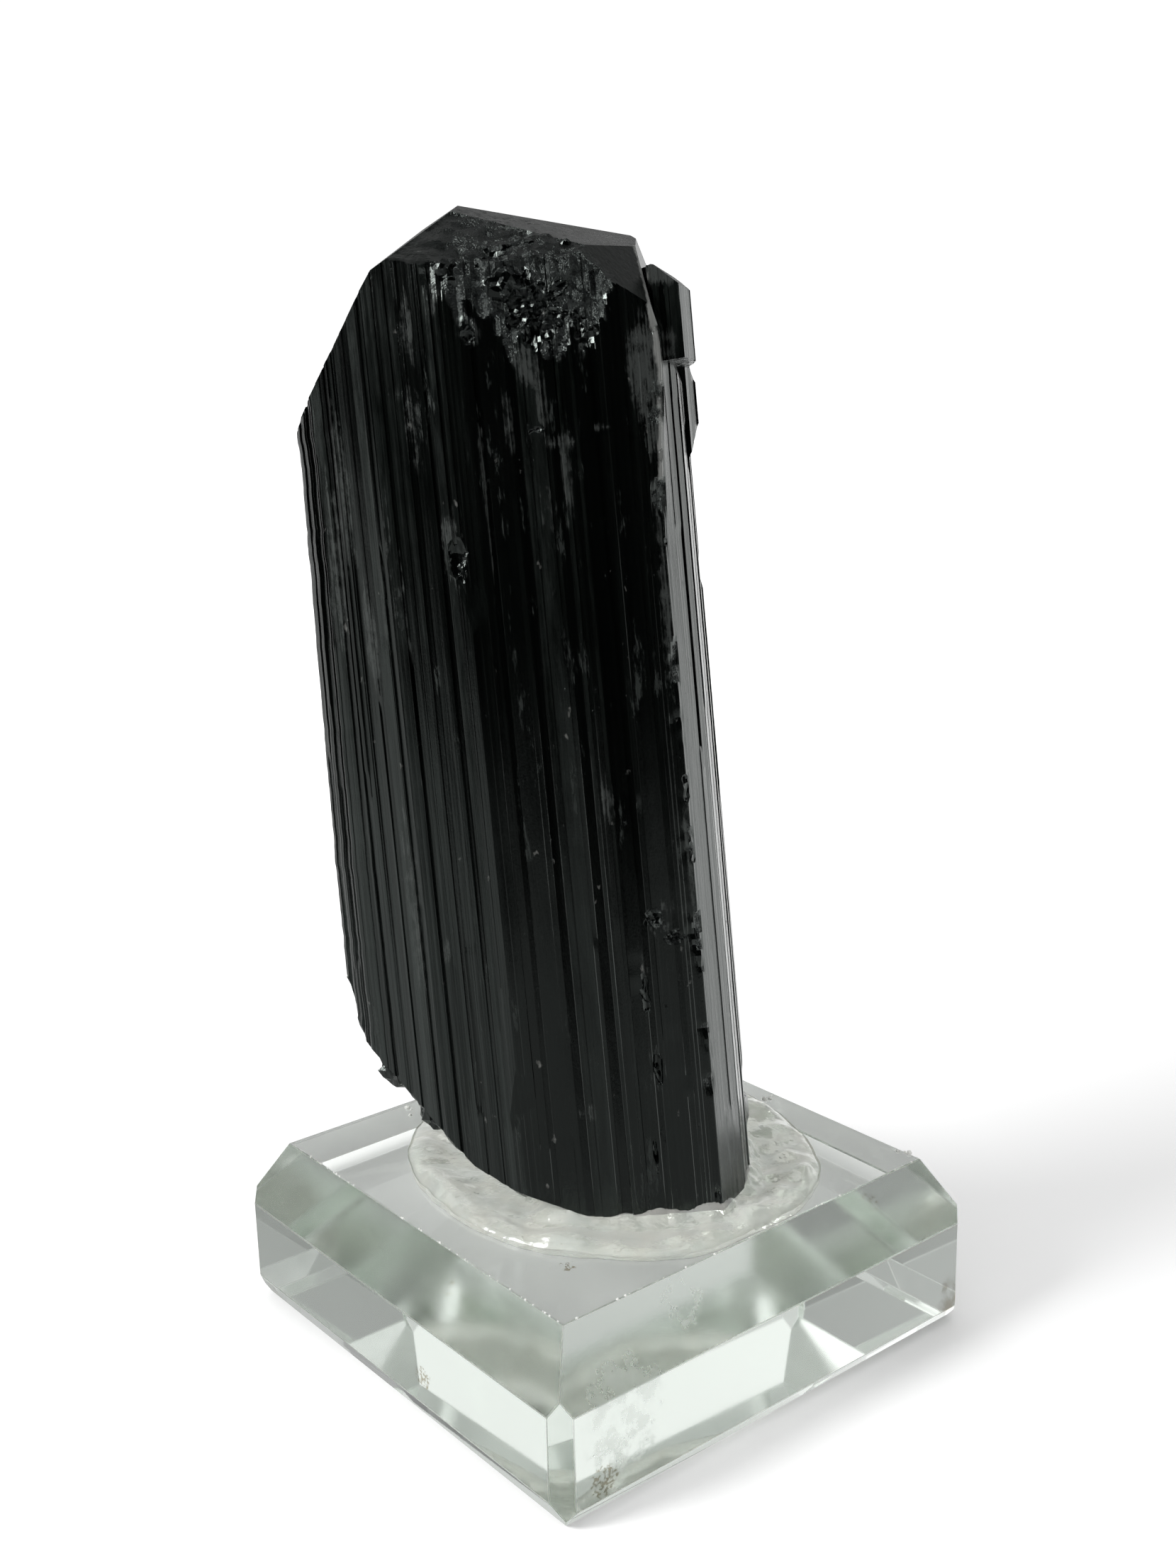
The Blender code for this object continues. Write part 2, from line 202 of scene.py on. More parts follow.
def newMaterial(name, index, clear=0.0):
    material = bpy.data.materials.new(name)
    material.use_nodes = True
    tree = material.node_tree
    shader = tree.nodes["Principled BSDF"]
    shader.inputs["IOR"].default_value = index
    shader.inputs["Transmission Weight"].default_value = clear
    return material, tree, shader, addNode(tree, "TexCoord").outputs["Object"]


def makeWorld():
    world = bpy.data.worlds.new("soft white room")
    world.use_nodes = True
    tree = world.node_tree
    tree.nodes.clear()
    look = addNode(tree, "TexCoord").outputs["Generated"]
    height = addNode(tree, "SeparateXYZ", None, {0: look}).outputs["Z"]
    dark = facing(tree, look, studio["darkAzimuth"], studio["darkHalf"])
    dark = times(tree, dark, span(tree, height, *studio["darkFrom"]))
    window = facing(tree, look, studio["windowAzimuth"], studio["windowHalf"])
    wall = lerp(tree, window, studio["wallTone"], studio["windowTone"])
    mirrored = lerp(tree, span(tree, height, *studio["ceilingFrom"]), wall, studio["ceilingTone"])
    mirrored = times(tree, mirrored, span(tree, height, *studio["zenithFade"]))
    mirrored = lerp(tree, dark, mirrored, studio["darkTone"])
    beside = facing(tree, look, studio["darkAzimuth"], studio["glassHalf"])
    through = lerp(tree, beside, studio["glassTone"], studio["glassDark"])
    above = span(tree, height, *studio["glassCeiling"], 1.0, studio["glassCeilingTone"])
    through = times(tree, through, above)
    # the room is plain white to the camera and to the table; reflections and glass find its dim parts
    path = addNode(tree, "LightPath").outputs
    strength = studio["skyStrength"]
    seen = {"Is Glossy Ray": mirrored, "Is Transmission Ray": through, "Is Camera Ray": studio["seenSky"]}
    for ray, tone in seen.items():
        strength = lerp(tree, path[ray], strength, tone)
    room = addNode(tree, "Background", None, {"Color": (1, 1, 1, 1), "Strength": strength})
    addNode(tree, "OutputWorld", None, {"Surface": room.outputs[0]})
    world.cycles.sampling_method = "NONE"
    bpy.context.scene.world = world


def makeLights():
    light = bpy.data.lights.new("key softbox", "AREA")
    light.shape = "DISK"
    light.size = studio["keySize"]
    light.energy = studio["keyPower"]
    item = newItem("key softbox", light)
    place = Vector(studio["keyFrom"])
    aim = (Vector((0, 0, 0.04)) - place).to_track_quat("-Z", "Y").to_matrix().to_4x4()
    aim.translation = place
    item.matrix_world = aim


def makeFloor():
    bm = bmesh.new()
    bmesh.ops.create_circle(bm, cap_ends=True, segments=96, radius=studio["floorReach"])
    bmesh.ops.translate(bm, vec=(0, 0, -studio["floorDrop"]), verts=bm.verts)
    floor = newItem("floor", newMesh("floor", bm))
    paper = bpy.data.materials.new("white table")
    paper.use_nodes = True
    tree = paper.node_tree
    tree.nodes.clear()
    tone = (*[studio["floorTone"]] * 3, 1)
    white = addNode(tree, "BsdfDiffuse", None, {"Color": tone}).outputs[0]
    look = addNode(tree, "TexCoord").outputs["Object"]
    reach = vector(tree, "LENGTH", look).outputs["Value"]
    # painted reflection: reflections see the table as a glow, brighter or dimmer by direction and fading towards
    # the unlit side
    towards, beside, opposite = studio["floorShine"]
    unlit = facing(tree, look, studio["darkAzimuth"], studio["floorUnlit"])
    window = facing(tree, look, studio["windowAzimuth"], studio["floorWindow"])
    shine = lerp(tree, unlit, lerp(tree, window, beside, opposite), towards)
    fade = span(tree, reach, *studio["floorFade"])
    shine = times(tree, shine, lerp(tree, unlit, 1.0, fade))
    # painted light seen by the camera: a glow on the front of the table and on the far table
    half, amount = studio["frontGlow"]
    bright = times(tree, facing(tree, look, studio["darkAzimuth"], half), amount)
    bright = calc(tree, "MAXIMUM", bright, span(tree, reach, *studio["floorGlow"]))
    # painted light: the table seen through the glass glows, for light that comes through the block
    inGlass = glow(tree, studio["floorInGlass"])
    through, pick = [addNode(tree, "AddShader", None, {0: white, 1: lit}).outputs[0]
                     for lit in (inGlass, glow(tree, bright))]
    path = addNode(tree, "LightPath").outputs
    # reflections see the table only as its painted glow
    for ray, shader in (("Is Glossy Ray", glow(tree, shine)), ("Is Transmission Ray", through)):
        pick = addNode(tree, "MixShader", None, {0: path[ray], 1: pick, 2: shader}).outputs[0]
    addNode(tree, "OutputMaterial", None, {"Surface": pick})
    paper.cycles.emission_sampling = "NONE"
    floor.data.materials.append(paper)


def ripple(*place):
    return noise.noise(Vector(place))


def slopeNormal(azimuth, steepness):
    a, t = radians(azimuth), radians(steepness)
    return Vector((sin(t) * cos(a), sin(t) * sin(a), cos(t)))


def addPiece(name, bm, material, sharp=None):
    mesh = newMesh(name, bm)
    mesh.materials.append(material)
    if sharp is not None:
        mesh.shade_smooth()
        mesh.set_sharp_from_angle(angle=radians(sharp))
    item = newItem(name, mesh)
    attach(item, "root")
    return item


def cutAway(bm, point, normal):
    geom = bm.verts[:] + bm.edges[:] + bm.faces[:]
    cut = bmesh.ops.bisect_plane(bm, geom=geom, dist=1e-7, plane_co=point, plane_no=normal, clear_outer=True)
    rim = [e for e in cut["geom_cut"] if isinstance(e, bmesh.types.BMEdge) and e.is_boundary]
    return bmesh.ops.holes_fill(bm, edges=rim, sides=0)["faces"] if rim else []


def ease(low, high, value):
    t = min(1.0, max(0.0, (value - low) / (high - low)))
    return t * t * (3 - 2 * t)


def streak(seed, s, wave):
    # smooth random run along the axis, about -0.5 to 0.5
    return ripple(seed * 7.31, seed * 1.7 + 0.5, s / wave)


crystal = {
    "foot": (1.8, -3.4, blockTop),
    "turn": 51.0,
    "leanLeft": 4.0,
    "leanBack": 8.0,
    "footLift": 1.3,
    # corners of the prism, anticlockwise from the front right ridge: across and towards the back, mm
    "section": (
        (12.6, -11.4), (14.9, -7.3), (15.8, -3.2), (16.0, 2.2), (13.6, 7.6), (6.6, 11.9), (-3.4, 13.2),
        (-12.6, 10.2), (-18.9, 4.2), (-19.7, -0.6), (-17.4, -5.2), (-11.6, -9.7), (-4.8, -11.9), (5.2, -12.2),
    ),
    # end faces: azimuth each falls towards, steepness, a point on it
    "endFaces": (
        (-52.0, 23.3, (-3.0, 0.0, 90.5)),
        (-156.0, 31.5, (-3.0, 0.0, 90.5)),
        (56.6, 25.6, (-3.0, 0.0, 90.5)),
        (182.0, 54.0, (-11.1, -9.9, 82.9)),
        (-86.0, 37.5, (7.7, -9.4, 84.5)),
        (-50.0, 51.0, (7.7, -9.9, 84.3)),
        (5.0, 62.0, (12.3, 0.0, 86.5)),
        (112.0, 50.0, (-5.0, 10.5, 84.0)),
        (-8.0, 76.4, (13.4, -11.4, 77.3)),
    ),
    "brokenEnd": 4,  # which of the end faces is the rough front break
    "netFine": (0.36, 0.75),  # how finely it and the broken foot are netted
    "footDepth": 0.55,  # how rough the foot is
    "footBreaks": (
        (191.0, 53.0, (-11.0, -9.9, 6.6)),
        (171.0, 32.0, (-8.3, -10.8, 3.9)),
        (176.0, 24.0, (-3.4, -11.9, 1.3)),
        (185.0, 78.0, (-19.6, -1.0, 17.5)),
        (75.0, 32.0, (4.0, 9.5, 1.0)),
    ),
    "low": -4.0,
    "high": 92.0,
    "levels": 190,
    # for each side of the section in turn: depth of its growth strips, their widths, how far they
    # are turned sideways and how hazy they are
    "sides": (
        (0.04, (1.2, 1.7), 0.012, 0.3), (0.12, (0.5, 0.9), 0.05, 0.3), (0.30, (0.5, 0.9, 1.4), 0.12, 0.3),
        *[(0.34, (0.6, 0.9, 1.5), 0.14, 0.4)] * 5, (0.30, (0.5, 0.9), 0.14, 0.5),
        (0.30, (0.26, 0.36, 0.5), 0.18, 0.6), (0.24, (0.24, 0.34, 0.5, 0.8), 0.16, 0.5),
        (0.13, (0.28, 0.42, 0.7, 1.1), 0.075, 0.35), (0.08, (0.35, 0.6, 1.0, 1.4), 0.04, 0.18),
        (0.07, (0.4, 0.8, 1.5), 0.03, 0.14),
    ),
    # strips given one by one: side, distance along it, width, level, sideways turn, haze, lean, and the
    # ends on the axis of those that don't run its whole length
    "wholeLength": (-6, 96),
    "marks": (
        (10, 0.9, 0.45, 0.05, -0.12, 0.6, 0.0), (10, 1.9, 0.3, -0.25, 0.0, 0.0, 0.5),
        (10, 2.6, 0.45, 0.04, 0.05, 0.4, -0.4, (52, 72)), (10, 3.2, 0.25, -0.2, 0.0, 0.0, 0.3),
        (10, 4.4, 0.3, -0.24, 0.1, 0.0, 0.8, (-6, 47)), (10, 5.4, 1.1, 0.08, -0.06, 0.8, -0.8, (-6, 52)),
        (10, 6.6, 0.25, -0.18, 0.0, 0.0, 0.6, (-6, 60)),
        (11, 0.1, 0.95, 0.05, -0.10, 0.5, -0.5), (11, 1.15, 0.3, -0.4, 0.0, 0.0, 1.0, (-6, 51)),
        (11, 3.1, 0.5, -0.12, 0.02, 0.0, 1.2, (10, 80)), (11, 5.1, 0.35, -0.15, 0.0, 0.0, 1.4, (-6, 75)),
        (12, 2.4, 0.5, -0.08, 0.0, 0.0, 1.3), (12, 5.1, 0.75, -0.1, 0.0, 0.0, 1.6),
        (12, 5.9, 0.6, -0.05, 0.02, 0.5, 0.0, (-6, 64)), (12, 6.6, 1.4, 0.04, -0.05, 0.55, -0.8, (-6, 60)),
        (12, 8.4, 0.85, -0.16, 0.0, 0.0, 1.8, (-6, 70)), (12, 9.3, 0.35, 0.03, -0.03, 0.5, -0.3, (-6, 80)),
        (13, 0.5, 0.35, -0.1, 0.03, 0.45, 0.0, (-6, 80)), (13, 2.3, 0.6, -0.06, 0.0, 0.0, 1.4),
        (13, 5.7, 0.35, -0.05, 0.0, 0.1, 0.0), (13, 6.1, 0.3, -0.03, 0.0, 0.1, 0.0),
        (13, 6.45, 0.3, -0.03, 0.0, 0.1, 0.0), (13, 6.8, 0.3, -0.02, 0.0, 0.1, 0.0),
        (13, 7.12, 0.3, 0.0, 0.0, 0.1, 0.0),
        (0, 0.0, 0.3, 0.0, 0.0, 0.4, 0.0), (0, 0.32, 0.3, 0.0, 0.0, 0.4, 0.0),
        (0, 3.3, 0.38, -0.55, 0.0, 0.0, 0.0, (41, 96)),
    ),
    "seed": 12,
    "stripLean": 0.028,
    "scars": (0.60, 0.66, 0.75),  # worn patches on the growth faces: where they start and are full, haze
    "glitter": (2600.0, 1.1),  # how many small facets a broken place has to the metre, how far they turn
    "tint": (0.90, 1.0, 0.95, 1),
    "tones": {
        "deep": (0.0002, 0.0003, 0.0003), "streaked": (0.0006, 0.0009, 0.0008), "hazy": (0.006, 0.008, 0.007),
        "lined": (0.020, 0.023, 0.022), "hairs": (0.014, 0.017, 0.016), "worn": (0.02392, 0.026, 0.02496),
        # the frayed tone is a painted highlight along the arrises
        "broken": (0.008, 0.009, 0.009), "frayedHighlight": (0.1176, 0.12, 0.1152), "dust": (0.10, 0.10, 0.095),
    },
    # noise on the surface: how fine across and along the axis, detail, the part of its range that is
    # used and what that becomes, roughness
    "fields": {
        "ragged": ((1500, 1500, 700), 8.0, 0.3, 0.7, -0.5, 0.5, 0.7),
        "streaks": ((2600, 2600, 24), 4.0, 0.3, 0.7),
        "fine": ((5200, 5200, 70), 3.0, 0.3, 0.7, -0.45, 0.45),
        "clouds": ((240, 240, 60), 3.0, 0.35, 0.7),
        "grain": ((5200, 5200, 5200), 3.0, 0.3, 0.7),
        "mottle": ((900, 900, 130), 8.0, 0.36, 0.62, 0.1, 1.1, 0.7),
        "scars": ((520, 520, 95), 9.0, 0.0, 1.0, 0.0, 1.0, 0.74),
        "hairs": ((4200, 4200, 40), 5.0, 0.46, 0.62, 0.0, 1.0, 0.6),
        "dust": ((900, 900, 500), 5.0, 0.70, 0.78, 0.0, 0.9),
        "waves": ((900, 900, 110), 9.0, 0.3, 0.7, 0.0, 1.0, 0.72),
        "swing": ((300, 300, 60), 1.0, 0.3, 0.7, -0.6, 0.6),
    },
    # side crystals: section (corners, or centre, size and turn), foot and top, azimuth of the ends,
    # steepness of the top and of the foot
    "sideCrystals": (
        (
            ((13.4, -9.9), (15.6, -10.3), (16.8, -7.4), (16.5, -2.5), (12.6, -1.5), (12.9, -6.5)),
            (74.0, 82.1), -15, 42, 3,
        ),
        (((15.0, -1.0), (3.9, 6.0), 0), (65.5, 76.5), 10, 62, 62),
        (((-18.8, 1.6), (2.1, 4.4), 12), (55.0, 74.0), 185, 62, 62),
        (((15.5, 0.6), (1.5, 2.4), 12), (5.5, 58.0), 0, 80, 80),
        (((15.0, 0.4), (2.8, 5.0), 12), (2.4, 6.6), 0, 40, 40),
        (((1.5, 12.7), (6.6, 2.6), 12), (14.0, 72.0), 95, 76, 76),
        (((-15.1, 7.7), (4.2, 3.0), 12), (30.0, 66.0), 130, 76, 76),
        (((-4.2, -11.7), (3.0, 1.3), 12), (8.0, 58.0), -90, 84, 84),
    ),
    "sideStrips": ((0.10, (0.3, 0.5, 0.8), 0.06, 0.35),),
    # how deep the front right ridge is chipped back, how far from it on the front and on its other side
    "ridgeBite": 0.85,
    "ridgeReach": 1.3,
    "ridgeSide": 0.6,
    # how far the front right ridge swings outwards at levels up the axis, and the left corners do
    "ridgeSwing": (
        (58.0, 0.0), (66.0, 0.3), (70.0, 0.65), (73.2, 0.9), (77.3, 0.85), (80.0, 0.35), (84.0, 0.0),
    ),
    "leftSwing": ((20.0, 0.9), (34.0, 0.75), (50.0, 0.4), (66.0, 0.0)),
    # worn patches on the front: centre across it and up the axis, reach each way, how worn
    "worn": (
        ((-7.7, 79.0), (0.6, 4.0), 0.5), ((-5.2, 80.8), (0.7, 1.8), 0.5), ((-2.4, 77.6), (1.0, 1.5), 0.6),
        ((2.0, 74.6), (1.1, 2.4), 0.6), ((3.1, 71.5), (0.6, 4.5), 0.55), ((11.7, 73.0), (1.5, 5.5), 0.65),
        ((12.2, 68.6), (1.1, 3.5), 0.6), ((4.4, 67.8), (1.5, 0.7), 0.6), ((4.7, 65.0), (0.6, 4.0), 0.55),
        ((-5.5, 59.6), (1.0, 3.8), 0.7), ((-5.9, 61.8), (0.8, 1.3), 0.6), ((-2.3, 64.0), (0.4, 9.0), 0.5),
        ((3.0, 62.5), (1.1, 3.0), 0.4), ((7.9, 68.8), (0.9, 0.5), 0.6), ((-15.1, 66.0), (0.7, 9.0), 0.6),
        ((-14.0, 53.0), (0.7, 6.0), 0.6), ((-16.5, 60.0), (0.8, 10.0), 0.55), ((-11.0, 58.0), (0.8, 9.0), 0.4),
        ((5.6, 37.0), (0.7, 2.8), 0.6), ((9.6, 25.8), (2.2, 2.0), 0.45), ((7.6, 20.0), (0.8, 4.0), 0.45),
        ((7.9, 12.5), (0.7, 3.0), 0.5), ((1.4, 9.1), (1.2, 0.9), 0.45), ((-9.9, 24.5), (0.5, 1.8), 0.6),
        ((12.3, 52.0), (0.8, 6.0), 0.55), ((12.4, 60.0), (0.7, 5.0), 0.5), ((12.5, 30.0), (0.7, 9.0), 0.5),
        ((-12.6, 30.0), (0.9, 12.0), 0.45), ((-8.0, 70.0), (0.9, 5.0), 0.4), ((0.2, 70.0), (0.7, 3.4), 0.4),
        ((14.6, 81.6), (2.6, 1.5), 0.75), ((16.4, 79.0), (0.6, 3.4), 0.55), ((14.2, 75.4), (1.2, 2.0), 0.5),
    ),
    # painted highlight: the frayed arrises get a light line painted along them where they catch the light: its
    # corners downwards, and how wide
    "frayedHighlight": (
        (12.5, -5.6, 84.5), (13.1, -11.5, 78.4), (13.5, -11.4, 73.2), (13.25, -11.4, 69.6), (12.8, -11.4, 64.0),
    ),
    "frayedHighlightWidth": 0.34,
    # the front is torn and rounded off towards its top: for places across it, where that begins
    "torn": ((-6.0, 82.0), (-3.0, 79.0), (0.0, 76.2), (3.0, 75.0), (6.0, 75.0), (8.5, 76.6), (10.5, 80.0)),
    "tornDepth": 0.9,
    # places across in metres with values there: the front break is even at the left and glitters
    # at the right, fine lines are deeper at the left, and light hairlines show low on the left
    "dullLeft": (-0.006, -0.002, 0.15, 1.0),
    "glitterFrom": (-0.0018, 0.0018),
    "lineDepth": (-0.011, 0.003, 0.6, 0.26),
    "hairsAcross": (-0.002, -0.010, 0.0, 0.6),
    "hairsUp": (0.052, 0.030),
    "bluntSlope": 14.0,
    # lumps left standing and hollows broken out: centre and radii
    "lumps": (
        ((-1.8, -9.9, 83.2), (1.7, 1.2, 1.3)), ((0.6, -9.2, 84.0), (1.4, 1.1, 1.2)),
        ((2.9, -8.9, 84.2), (1.5, 1.0, 1.1)), ((0.8, -11.0, 81.6), (1.6, 1.1, 1.5)),
        ((-3.9, -10.8, 82.6), (1.2, 0.9, 1.6)), ((6.3, -8.6, 83.8), (1.1, 0.9, 1.2)),
        ((-15.2, -3.6, 12.6), (2.4, 2.0, 2.0)), ((-12.0, -5.6, 8.8), (2.2, 2.0, 1.9)),
        ((-15.6, 1.4, 11.6), (2.4, 2.2, 2.0)), ((-10.2, 0.4, 5.8), (2.6, 2.4, 1.7)),
        ((-12.4, 5.2, 6.6), (2.2, 1.8, 1.8)), ((-6.2, -5.0, 3.0), (2.2, 2.0, 1.2)),
    ),
    "hollows": (
        ((3.6, -13.4, 79.4), (3.3, 2.6, 3.6)), ((7.2, -13.1, 78.2), (2.2, 1.7, 2.2)),
        ((-2.5, -12.6, 77.4), (0.9, 0.9, 1.1)), ((-5.4, -12.2, 58.7), (1.1, 0.7, 1.9)),
        ((2.5, -12.8, 69.0), (1.3, 0.8, 0.7)), ((8.6, -12.4, 26.0), (1.3, 0.8, 1.2)),
        ((10.6, -12.1, 24.2), (1.1, 0.8, 0.9)), ((7.4, -12.35, 19.6), (0.6, 0.7, 2.0)),
        ((7.9, -12.35, 13.0), (0.5, 0.7, 2.2)), ((7.0, -12.45, 4.6), (0.3, 0.7, 2.8)),
        ((12.9, -11.9, 31.4), (0.7, 0.8, 1.2)), ((12.9, -11.9, 37.2), (0.8, 0.8, 1.8)),
        ((12.9, -12.0, 47.4), (0.6, 0.7, 1.6)), ((12.9, -12.0, 58.6), (0.6, 0.8, 1.3)),
        ((13.1, -11.9, 66.2), (0.7, 0.7, 1.1)), ((16.2, -5.0, 24.4), (0.7, 1.0, 2.0)),
    ),
}


def crystalPlace():
    left, back = [tan(radians(crystal[name])) for name in ("leanLeft", "leanBack")]
    axis = Vector((-left, back, 1.0))
    lean = Vector((0, 0, 1)).rotation_difference(axis.normalized()).to_matrix().to_4x4()
    turn = Matrix.Rotation(radians(crystal["turn"]), 4, "Z")
    return Matrix.Translation(Vector(crystal["foot"]) * mm) @ turn @ lean


def growthColumns(corners, sides, seed, marks=()):
    # one row for each upright line of the surface: place, outward way, relief and its strip's number;
    # then each strip's sideways turn is in the relief, and its haze, lean and ends come separately
    dice = random.Random(seed)
    rows, strips = [], []
    for side, (a, b) in enumerate(zip(corners, corners[1:] + corners[:1])):
        depth, widths, slant, haze = sides[side % len(sides)]
        a, b = Vector(a), Vector(b)
        way = (b - a).normalized()
        out = Vector((way.y, -way.x))
        length = (b - a).length
        kept = sorted(mark for mark in marks if mark[0] == side)
        p = 0.0
        while p < length - 0.05:
            if kept and kept[0][1] < p + 0.02:
                width, level, tilt, film, tip, *ends = kept.pop(0)[2:]
                width = min(width, length - p)
                ends = ends[0] if ends else crystal["wholeLength"]
            else:
                room = (kept[0][1] if kept else length) - p
                width = min(dice.choice(widths) * dice.uniform(0.8, 1.2), room)
                if room - width < 0.28:
                    width = room
                level = -depth * dice.random() ** 1.6
                tilt = dice.uniform(-slant, slant)
                film = haze * dice.random() ** 1.5 * 1.6
                tip, ends = dice.uniform(-1, 1), None
            pieces = max(1, round(width / 0.42))
            for k in range(pieces + 1):
                t = k / pieces
                q = p + 0.03 + (width - 0.06) * t
                rows.append((a + way * q, out, level + tilt * width * (t - 0.5), len(strips)))
            strips.append((film, tip, ends))
            p += width
    return rows, strips


def reliefEvents(count, seed, low, high):
    # where a strip starts, stops or steps: level along the axis and the change of height there
    dice = random.Random(seed)
    counts = (0, 1, 1, 2, 3)
    return [
        [(dice.uniform(low, high), dice.uniform(-1, 1)) for k in range(dice.choice(counts))]
        for n in range(count)
    ]


def along(stops, s):
    # the value at s on a line through stops, level past its ends
    for (s0, v0), (s1, v1) in zip(stops, stops[1:]):
        if s0 <= s <= s1:
            return v0 + (v1 - v0) * (s - s0) / (s1 - s0)
    return stops[0][1] if s < stops[0][0] else stops[-1][1]


def ridgeChip(u, w, s):
    # how far the front right ridge is broken back, mm
    across, deep = crystal["section"][0]
    away = hypot(u - across, w - deep)
    reach = crystal["ridgeReach"] if w < deep + 0.05 else crystal["ridgeSide"]
    if away > reach:
        return 0.0
    bite = 0.75 * ripple(3.1, s * 0.23, 0.2) + 0.45 * ripple(u * 0.8, s * 0.95, 7.7)
    bite += 0.3 * ripple(u * 1.4, s * 2.3, 1.1)
    upper = 0.25 * ease(58, 62, s) * ease(74, 70, s)
    bite += upper + 0.2 * ease(29, 26, s) * ease(19, 21, s)
    return crystal["ridgeBite"] * max(0.0, bite - 0.14) * (1 - away / reach) ** 0.8


def wornAt(u, w, s):
    # how worn the front is, 0 to 1
    if w > -3:
        return 0.0
    most = 0.0
    for (u0, s0), (across, up), amount in crystal["worn"]:
        away = hypot((u - u0) / across, (s - s0) / up)
        most = max(most, amount * ease(1.3, 0.5, away))
    return most


def tornAway(u, w, s):
    # how far the front's top is torn back, mm, and how rough it is there, 0 to 1
    stops = crystal["torn"]
    if w > -6 or s < 70 or not stops[0][0] < u < stops[-1][0]:
        return 0.0, 0.0
    start = along(stops, u)
    wild = ripple(u * 0.7, 3.0, s * 0.35) + 0.5 * ripple(u * 1.9, 9.0, s * 0.8)
    share = ease(start - 0.6, start + 2.6, s + 3.2 * wild)
    rough = ripple(u * 0.9, w, s * 0.7) + 0.6 * noise.cell(Vector((u * 1.3, 2.0, s * 0.9))) - 0.3
    return share * crystal["tornDepth"] * (0.35 + 0.75 * ease(start, start + 7, s) + 0.5 * rough), share


def relief(u, w, s, height, number, strips, events):
    # height of the surface above the plain prism, mm
    ends = strips[number][2]
    if ends:
        low, high = ends
        value = height * ease(low - 0.8, low + 0.4, s) * ease(high + 1.2, high - 1.0, s)
    else:
        value = height * (0.75 + 0.9 * streak(number, s, 34.0))
        for where, change in events[number]:
            value += change * min(0.16, 0.1 + abs(height)) * 0.8 * ease(where - 0.4, where + 0.4, s)
    value += 0.03 * ripple(u * 0.35, w * 0.35, s * 0.05)
    value += 0.012 * ripple(u * 1.7, w * 1.7, s * 0.33 + 9)
    return value


def prismMesh(rows, low, high, levels):
    # an upright skin through the rows' places, swept from a ring, with its levels evenly spaced
    bm = bmesh.new()
    tag = bm.verts.layers.int.new("column")
    bmesh.ops.create_circle(bm, segments=len(rows), radius=0.01)
    bm.verts.ensure_lookup_table()
    ring = sorted(bm.verts, key=lambda v: atan2(v.co.y, v.co.x) % (2 * pi))
    for k, vert in enumerate(ring):
        vert[tag] = k
        vert.co = (*(rows[k][0] * mm), low * mm)
    step = (high - low) / levels * mm
    geom = bm.verts[:] + bm.edges[:]
    bmesh.ops.spin(bm, geom=geom, cent=(0, 0, 0), axis=(0, 0, 1), dvec=(0, 0, step), angle=0.0, steps=levels)
    ends = [e for e in bm.edges if e.is_boundary]
    bmesh.ops.holes_fill(bm, edges=ends, sides=0)
    bmesh.ops.recalc_face_normals(bm, faces=bm.faces)
    return bm, tag


def displaced(bm, tag, rows, strips, seed, chipped=False):
    # moves each upright line out by its relief and marks the faces with their strip's haze and lean
    events = reliefEvents(len(strips), seed + 1, 5, 85)
    haze = bm.faces.layers.float.new("haze")
    lean = bm.faces.layers.float.new("lean")
    chip = bm.verts.layers.float.new("chip")
    worn = bm.verts.layers.float.new("worn")
    for face in bm.faces:
        numbers = {rows[v[tag]][3] for v in face.verts}
        if len(numbers) == 1:
            face[haze], face[lean] = strips[numbers.pop()][:2]
    inward = Vector((-0.55, 0.83))  # away from the front right ridge
    ridge = Vector(crystal["section"][0])
    for vert in bm.verts:
        point, out, height, number = rows[vert[tag]]
        s = vert.co.z / mm
        place = point + out * relief(point.x, point.y, s, height, number, strips, events)
        vert[worn] = wornAt(point.x, point.y, s)
        if chipped:
            bite = ridgeChip(point.x, point.y, s)
            place += inward * bite
            place.x += along(crystal["ridgeSwing"], s) * ease(2.6, 0.3, (point - ridge).length)
            wave = 0.11 * ripple(1.0, 2.0, s * 0.3) + 0.07 * ripple(5.0, 2.0, s * 0.95)
            place.x -= (along(crystal["leftSwing"], s) + wave) * ease(-14.0, -18.5, point.x)
            back, share = tornAway(point.x, point.y, s)
            place.y += max(0.0, back)
            vert[chip] = max(0.8 * min(1.0, bite / 0.35), share)
        vert.co = (place.x * mm, place.y * mm, vert.co.z)


def sliceZone(bm, zone, mark, normal, spacing):
    # cuts the flat faces of one zone into a net, so that they can be roughened
    first = normal.cross(Vector((0, 0, 1))).normalized()
    for way in (first, normal.cross(first).normalized()):
        faces = [f for f in bm.faces if f[zone] == mark]
        reach = [v.co.dot(way) / mm for f in faces for v in f.verts]
        cut = min(reach) + spacing
        while cut < max(reach):
            faces = [f for f in bm.faces if f[zone] == mark]
            edges = list({e for f in faces for e in f.edges})
            verts = list({v for f in faces for v in f.verts})
            geom = faces + edges + verts
            bmesh.ops.bisect_plane(bm, geom=geom, dist=1e-7, plane_co=way * cut * mm, plane_no=way)
            cut += spacing


def roughen(bm, zone, mark, normal, depth):
    # broken texture: blunt steps and small chips over the inside of a zone
    for vert in bm.verts:
        if not vert.link_faces or any(f[zone] != mark for f in vert.link_faces):
            continue
        p = vert.co / mm
        rise = noise.noise(p * 0.35) + 0.55 * noise.noise(p * 0.9 + Vector((7, 0, 0)))
        rise += 0.5 * (noise.voronoi(p * 1.1)[0][0] - 0.4) + 0.22 * noise.noise(p * 2.4)
        vert.co += normal * rise * depth(p) * mm


